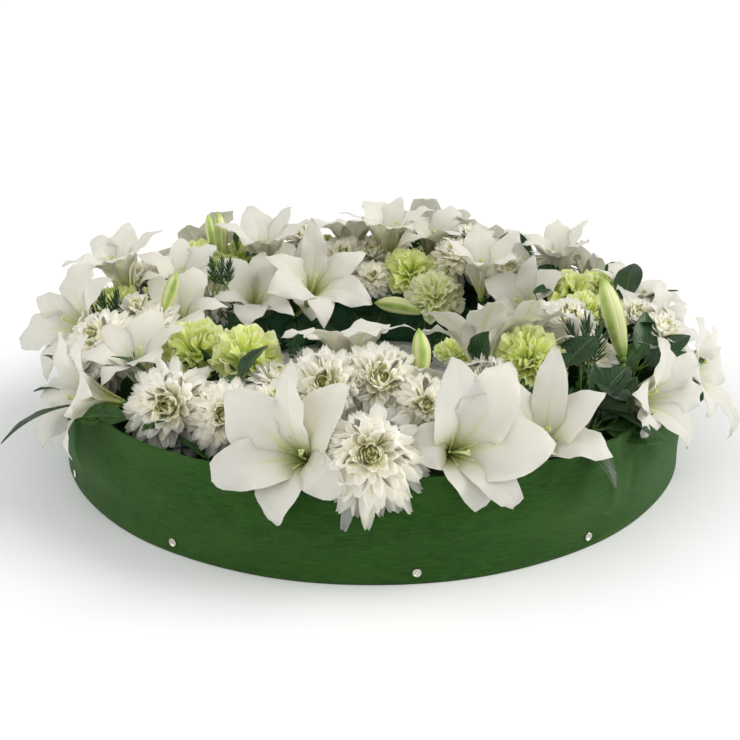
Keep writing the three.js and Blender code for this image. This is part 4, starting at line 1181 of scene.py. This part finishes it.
# a bed of leaves pushed into the foam under the heads, in four rows from the rim to the hole
bed = [Build() for _ in range(4)]
g = rng("bed")
ROWS = [(48, 288, 78, 20, 38, 72, 0.10), (44, 266, 78, 14, 60, 70, 0.0), (40, 244, 78, -14, 60, 70, 0.0), (40, 222, 76, -30, 34, 66, 0.05)]
for row, (n, r, z, dr, dz, length, _) in enumerate(ROWS):
    for i in range(n):
        a = 2 * math.pi * (i + g.uniform(-0.35, 0.35) + 0.5 * (row % 2)) / n
        base = polar(a, r + g.uniform(-6, 6), z)
        sweep = g.uniform(-0.20, 0.20)
        tip = polar(a + sweep, r + dr * g.uniform(0.6, 1.5), z + dz * g.uniform(0.55, 1.05))
        tip = base + unit(tip - base) * length * g.uniform(0.85, 1.05) if row in (1, 2) else tip
        rt = math.hypot(tip[0], tip[1])
        if rt > 316:
            tip[:2] *= 316 / rt
        k = int(math.degrees(a) % 360 // 90)
        foot = base - unit(tip - base) * 14
        twig(bed[k], foot, base + unit(tip - base) * 2, 1.3, 0.9)
        leaf(bed[k], g, base, tip, g.uniform(26, 36), mat=0 if g.uniform() < 0.72 else 4, fold=g.uniform(0.12, 0.3),
             arch=g.uniform(0.03, 0.14), roll=g.uniform(-35, 35), up=polar(a, 0.25 * (1 if row < 2 else -1), 1.0))
# collar: leaves lying out over the gap between the foam and the skirt
for i in range(56):
    a = 2 * math.pi * (i + g.uniform(-0.3, 0.3)) / 56
    k = int(math.degrees(a) % 360 // 90)
    base = polar(a, 276, 80)
    tip = polar(a + g.uniform(-0.16, 0.16), 315, g.uniform(88, 99))
    twig(bed[k], polar(a, 270, 70), base + unit(tip - base) * 2, 1.2, 0.9)
    leaf(bed[k], g, base, tip, g.uniform(26, 34), mat=0, fold=0.15, arch=0.08, roll=g.uniform(-20, 20), up=(0, 0, 1))
for k in range(4):
    ob = bed[k].object(f"fill_bed_leaves_{k + 1}", LEAF_MATS)
    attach(ob, "root")

# ferns clothing the inner wall of the ring and standing between the heads
ferns = [Build() for _ in range(4)]
g = rng("ferns")
for i in range(64):
    a = 2 * math.pi * (i + g.uniform(-0.35, 0.35)) / 64
    k = int(math.degrees(a) % 360 // 90)
    lo_ = i % 2
    base = polar(a, 209, 66 if lo_ else 76)
    tip = polar(a + g.uniform(-0.15, 0.15), g.uniform(176, 190), g.uniform(12, 40) if lo_ else g.uniform(92, 118))
    fern_frond(ferns[k], g, base, tip, width=g.uniform(26, 36), pairs=9, up=polar(a, -1.0, 0.35))
for i in range(30):
    a = 2 * math.pi * (i + g.uniform(-0.4, 0.4)) / 30
    k = int(math.degrees(a) % 360 // 90)
    r = g.uniform(225, 285)
    base = polar(a, r, 78)
    tip = polar(a + g.uniform(-0.12, 0.12), r + g.uniform(-14, 14), g.uniform(128, 150))
    fern_frond(ferns[k], g, base, tip, width=g.uniform(22, 30), pairs=9, up=polar(a, 1.0, 0.1))
for k in range(4):
    ob = ferns[k].object(f"fill_fern_{k + 1}", LEAF_MATS)
    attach(ob, "root")

# ------------------------------------------------------------------ ring pieces
def lathe(profile, sides, wobble=None):
    """Closed ring of revolution from a closed [r, z] outline in mm; returns vertices and quads."""
    prof = np.asarray(profile, float)
    n = len(prof)
    a = np.arange(sides) * 2 * math.pi / sides
    r = np.broadcast_to(prof[:, 0], (sides, n)).copy()
    z = np.broadcast_to(prof[:, 1], (sides, n)).copy()
    if wobble is not None:
        r, z = wobble(a[:, None], r, z)
    V = np.stack([r * np.sin(a)[:, None], -r * np.cos(a)[:, None], z], -1)
    idx = np.arange(sides * n).reshape(sides, n)
    nj = np.roll(idx, -1, axis=1)
    ni = np.roll(idx, -1, axis=0)
    nij = np.roll(nj, -1, axis=0)
    q = np.stack([idx, nj, nij, ni], -1).reshape(-1, 4)
    return V.reshape(-1, 3) * MM, q, np.repeat(a, n)


def ring_piece(name, profile, sides, material, wobble=None, replaces=None):
    V, q, _ = lathe(profile, sides, wobble)
    # faces point out: the outline runs outwards along the bottom and back along the top
    b = Build()
    b.put(V, quads=q[:, ::-1])
    ob = b.object(name, [material], smooth=True)
    for p in ob.data.polygons:
        p.use_smooth = True
    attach(ob, "root")
    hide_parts(replaces)
    return ob


blo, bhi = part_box("backing_ring")
BASE_R, BASE_H = (bhi[0] - blo[0]) / 2 / MM, bhi[2] / MM
BASE_R_IN = 196.0
profile = [(BASE_R_IN + 2, 0), (BASE_R - 2, 0), (BASE_R - 0.6, 0.6), (BASE_R, 2), (BASE_R, BASE_H - 2), (BASE_R - 0.6, BASE_H - 0.6),
           (BASE_R - 2, BASE_H), (BASE_R_IN + 2, BASE_H), (BASE_R_IN + 0.6, BASE_H - 0.6), (BASE_R_IN, BASE_H - 2), (BASE_R_IN, 2), (BASE_R_IN + 0.6, 0.6)]
ring_piece("base_ring_moulding", profile, 180, M_EPS, replaces="backing_ring")

flo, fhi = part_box("foam_ring")
F_OUT, F_IN, F_BOT, F_TOP, F_SH = (fhi[0] - flo[0]) / 2 / MM, 206.0, flo[2] / MM, fhi[2] / MM, 17.0
prof = [(F_IN, F_BOT)]
prof += [(r, F_BOT) for r in np.linspace(F_IN, F_OUT, 9)[1:]]
prof += [(F_OUT, z) for z in np.linspace(F_BOT, F_TOP - F_SH, 5)[1:]]
prof += [(F_OUT - F_SH + F_SH * math.cos(t), F_TOP - F_SH + F_SH * math.sin(t)) for t in np.linspace(0, math.pi / 2, 6)[1:]]
prof += [(r, F_TOP) for r in np.linspace(F_OUT - F_SH, F_IN + F_SH, 8)[1:]]
prof += [(F_IN + F_SH - F_SH * math.cos(t), F_TOP - F_SH + F_SH * math.sin(t)) for t in np.linspace(math.pi / 2, 0, 6)[1:]]
prof += [(F_IN, z) for z in np.linspace(F_TOP - F_SH, F_BOT, 5)[1:-1]]


def foam_wobble(a, r, z):
    g = rng("foam")
    ph = g.uniform(0, 6.28, (5,))
    k = 0.5 * np.sin(9 * a + ph[0] + z * 0.09) + 0.4 * np.sin(23 * a + ph[1] + r * 0.13) + 0.3 * np.sin(41 * a + ph[2] - z * 0.21)
    inside = (z > F_BOT + 2)
    mid = (F_IN + F_OUT) / 2
    return r + np.where(inside, 0.5 * k * np.sign(mid - r), 0), z - np.where(z > F_TOP - 3, 0.6 * np.abs(k), 0)


ring_piece("foam_ring_block", prof, 240, M_FOAM, wobble=foam_wobble, replaces="foam_ring")

# skirt: one band of non-woven, tight at the foot and standing in soft waves above
slo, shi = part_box("skirt")
S_R, S_T = 332.0, 0.8
S_BOT, S_TOP = slo[2] / MM, 106.0


def skirt_radius(a, z):
    """Outer face of the band at angle a (from the front, towards +X) and height z, in mm."""
    up = smooth01(z, 18, 62)
    rim = smooth01(z, 55, 105)
    # `phi` is the CAD's own angle, from +X towards +Y
    phi = a - math.pi / 2
    body = 3.6 * up * (1 - rim) + (1.6 * np.sin(5 * phi + 0.4) + 1.0 * np.sin(11 * phi)) * rim + 1.2 * np.sin(7 * phi + 1.3) * up * (1 - rim)
    fine = 0.35 * np.sin(29 * phi + 0.05 * z) * up + 0.25 * np.sin(47 * phi - 0.08 * z + 1.0) * smooth01(z, 30, 90)
    # soft upright creases where the band was folded in its pack
    crease = np.zeros_like(phi + z)
    for c, w, h in CREASES:
        dd = (np.mod(a - math.radians(c) + math.pi, 2 * math.pi) - math.pi) * S_R
        crease = crease + h * np.exp(-(dd / w) ** 2) * smooth01(z, 14, 60)
    # it is pulled in a little at each pin
    pull = np.zeros_like(phi + z)
    for i in range(8):
        c = math.radians([-66.0, -33.7, 6.6, 37.0, 88.0, 139.0, 190.0, 241.0][i])
        dd = (np.mod(a - c + math.pi, 2 * math.pi) - math.pi) * S_R
        pull = pull + np.exp(-(dd / 15.0) ** 2 - ((z - 12) / 13.0) ** 2)
    foot = 0.5 * (1 - smooth01(z, 0, 8)) * (1 + np.sin(13 * phi))
    return S_R + body + fine + crease - 0.25 * pull + foot * 0.6


CREASES = [(-60, 4.0, 2.6), (-65, 7.0, -1.8), (42, 5.0, 2.4), (47, 6.0, -1.8), (120, 6.0, 1.5), (172, 5.0, 1.6), (-128, 6.0, 1.4), (-20, 9.0, 0.7), (21, 10.0, -0.7)]
NA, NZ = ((360, 22))
a = np.arange(NA) * 2 * math.pi / NA
zz = np.concatenate([[S_BOT], np.linspace(S_BOT + 3.0, S_TOP - 2.0, NZ - 2), [S_TOP]])
A, Z = np.meshgrid(a, zz, indexing="ij")
rim_h = 0.7 * np.sin(3 * (A - math.pi / 2) + 2) * smooth01(Z, 60, 105)
Ro = skirt_radius(A, Z)
Ri = Ro - S_T
outer = np.stack([Ro * np.sin(A), -Ro * np.cos(A), Z + rim_h], -1)
inner = np.stack([Ri * np.sin(A), -Ri * np.cos(A), Z + rim_h], -1)
nz = len(zz)
io = np.arange(NA * nz).reshape(NA, nz)
ii = io + NA * nz
ro_, ri_ = np.roll(io, -1, axis=0), np.roll(ii, -1, axis=0)
q = [np.stack([io[:, :-1], ro_[:, :-1], ro_[:, 1:], io[:, 1:]], -1).reshape(-1, 4),
     np.stack([ii[:, :-1], ii[:, 1:], ri_[:, 1:], ri_[:, :-1]], -1).reshape(-1, 4),
     np.stack([io[:, -1], ro_[:, -1], ri_[:, -1], ii[:, -1]], -1).reshape(-1, 4),
     np.stack([io[:, 0], ii[:, 0], ri_[:, 0], ro_[:, 0]], -1).reshape(-1, 4)]
b = Build()
b.put(np.concatenate([outer.reshape(-1, 3), inner.reshape(-1, 3)]) * MM, quads=np.concatenate(q))
skirt = b.object("skirt_band", [M_SKIRT])
uvl = skirt.data.uv_layers.new(name="flat")
co_a = np.concatenate([np.repeat(a, nz), np.repeat(a, nz)])
co_z = np.concatenate([np.tile(zz, NA), np.tile(zz, NA)])
li = np.zeros(len(skirt.data.loops), np.int32)
skirt.data.loops.foreach_get("vertex_index", li)
ua = co_a[li].reshape(-1, 4)
wrap = (ua.max(1) - ua.min(1)) > math.pi
ua[wrap] = np.where(ua[wrap] < 1.0, ua[wrap] + 2 * math.pi, ua[wrap])
uvs = np.stack([ua.ravel() * S_R * MM, co_z[li] * MM], -1)
uvl.data.foreach_set("uv", uvs.astype(np.float32).ravel())
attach(skirt, "root")
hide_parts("skirt")

# drawing pins: a domed head with a rolled rim and a dimple, on a pointed shank
PIN_ANGLES = [-66.0, -33.7, 6.6, 37.0, 88.0, 139.0, 190.0, 241.0]
for i in range(8):
    node = f"skirt_pin_{i + 1}"
    lo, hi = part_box(node)
    mid = np.array((lo + hi) / 2)
    ang = math.atan2(mid[0], -mid[1])
    out = np.array([math.sin(ang), -math.cos(ang), 0.0])
    zc = mid[2] / MM
    seat = float(skirt_radius(np.array([ang]), np.array([zc]))[0])
    prof = [(0.0, -11.0), (0.35, -9.6), (0.55, -8.0), (0.62, 0.0), (3.5, 0.10), (4.1, 0.45), (4.2, 1.0), (3.95, 1.55), (3.5, 1.75), (3.05, 1.6), (2.75, 1.1), (2.5, 0.75), (1.3, 0.62), (0.0, 0.6)]
    pr = np.array(prof)
    sides = 28
    th = np.arange(sides) * 2 * math.pi / sides
    V = np.stack([pr[None, 1:-1, 0] * np.cos(th)[:, None], pr[None, 1:-1, 0] * np.sin(th)[:, None], np.broadcast_to(pr[None, 1:-1, 1], (sides, len(pr) - 2))], -1)
    n = len(pr) - 2
    idx = np.arange(sides * n).reshape(sides, n)
    nx = np.roll(idx, -1, axis=0)
    quads = np.stack([idx[:, :-1], nx[:, :-1], nx[:, 1:], idx[:, 1:]], -1).reshape(-1, 4)
    verts = np.concatenate([V.reshape(-1, 3), [[0, 0, pr[0, 1]]], [[0, 0, pr[-1, 1]]]])
    t0 = np.stack([np.full(sides, sides * n), nx[:, 0], idx[:, 0]], -1)
    t1 = np.stack([np.full(sides, sides * n + 1), idx[:, -1], nx[:, -1]], -1)
    b = Build()
    R = facing(out)
    b.put(place(verts, R, out * (seat + 0.15) + np.array([0, 0, zc])), quads=quads, tris=np.concatenate([t0, t1]))
    ob = b.object(node + "_metal", [M_PIN])
    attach(ob, "root")
    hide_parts(node)

# ------------------------------------------------------------------ studio
floor = bpy.data.meshes.new("floor")
floor.from_pydata([(-14, -10, 0), (14, -10, 0), (14, 18, 0), (-14, 18, 0)], [], [(0, 1, 2, 3)])
floor_ob = bpy.data.objects.new("floor", floor)
scene.collection.objects.link(floor_ob)
mf = Mat("studio_floor")
mf.colour(mf.mix(mf.level(mf.noise(mf.coords(), 2.0, 2.0), 0.3, 0.7), (0.90, 0.90, 0.90), (0.92, 0.92, 0.92)))
mf.rough(0.9)
mf.p.inputs["Specular IOR Level"].default_value = 0.1
floor.materials.append(mf.m)

world = bpy.data.worlds.new("studio")
scene.world = world
world.use_nodes = True
world.node_tree.nodes["Background"].inputs[0].default_value = (1.0, 1.0, 1.0, 1.0)
world.node_tree.nodes["Background"].inputs[1].default_value = 0.60


def softbox(name, towards, strength, spread, colour=(1, 1, 1)):
    """A broad, distant softbox shining from `towards`."""
    l = bpy.data.lights.new(name, "SUN")
    l.energy = strength
    l.angle = math.radians(spread)
    l.color = colour
    o = bpy.data.objects.new(name, l)
    o.rotation_euler = Vector(towards).to_track_quat("Z", "Y").to_euler()
    o.location = Vector(towards) * 2
    scene.collection.objects.link(o)


softbox("key_right", (0.82, 0.02, 0.60), 1.95, 40, (1.0, 0.99, 0.97))
softbox("fill_left", (-0.78, -0.12, 0.60), 0.85, 60, (0.99, 1.0, 1.0))
softbox("front", (0.05, -0.60, 0.80), 0.30, 60)
scene.cycles.max_bounces = 16
scene.cycles.diffuse_bounces = 10

cam = bpy.data.cameras.new("camera")
cam.lens = 65.1
cam.sensor_width = 36.0
cam.clip_end = 60
cam_ob = bpy.data.objects.new("camera", cam)
cam_ob.location = (-0.0028, -1.358, 0.630)
cam_ob.rotation_euler = (math.radians(90 - 22.4), 0, 0)
scene.collection.objects.link(cam_ob)
scene.camera = cam_ob
scene.view_settings.view_transform = "Standard"
scene.view_settings.look = "None"
scene.view_settings.exposure = 0.0
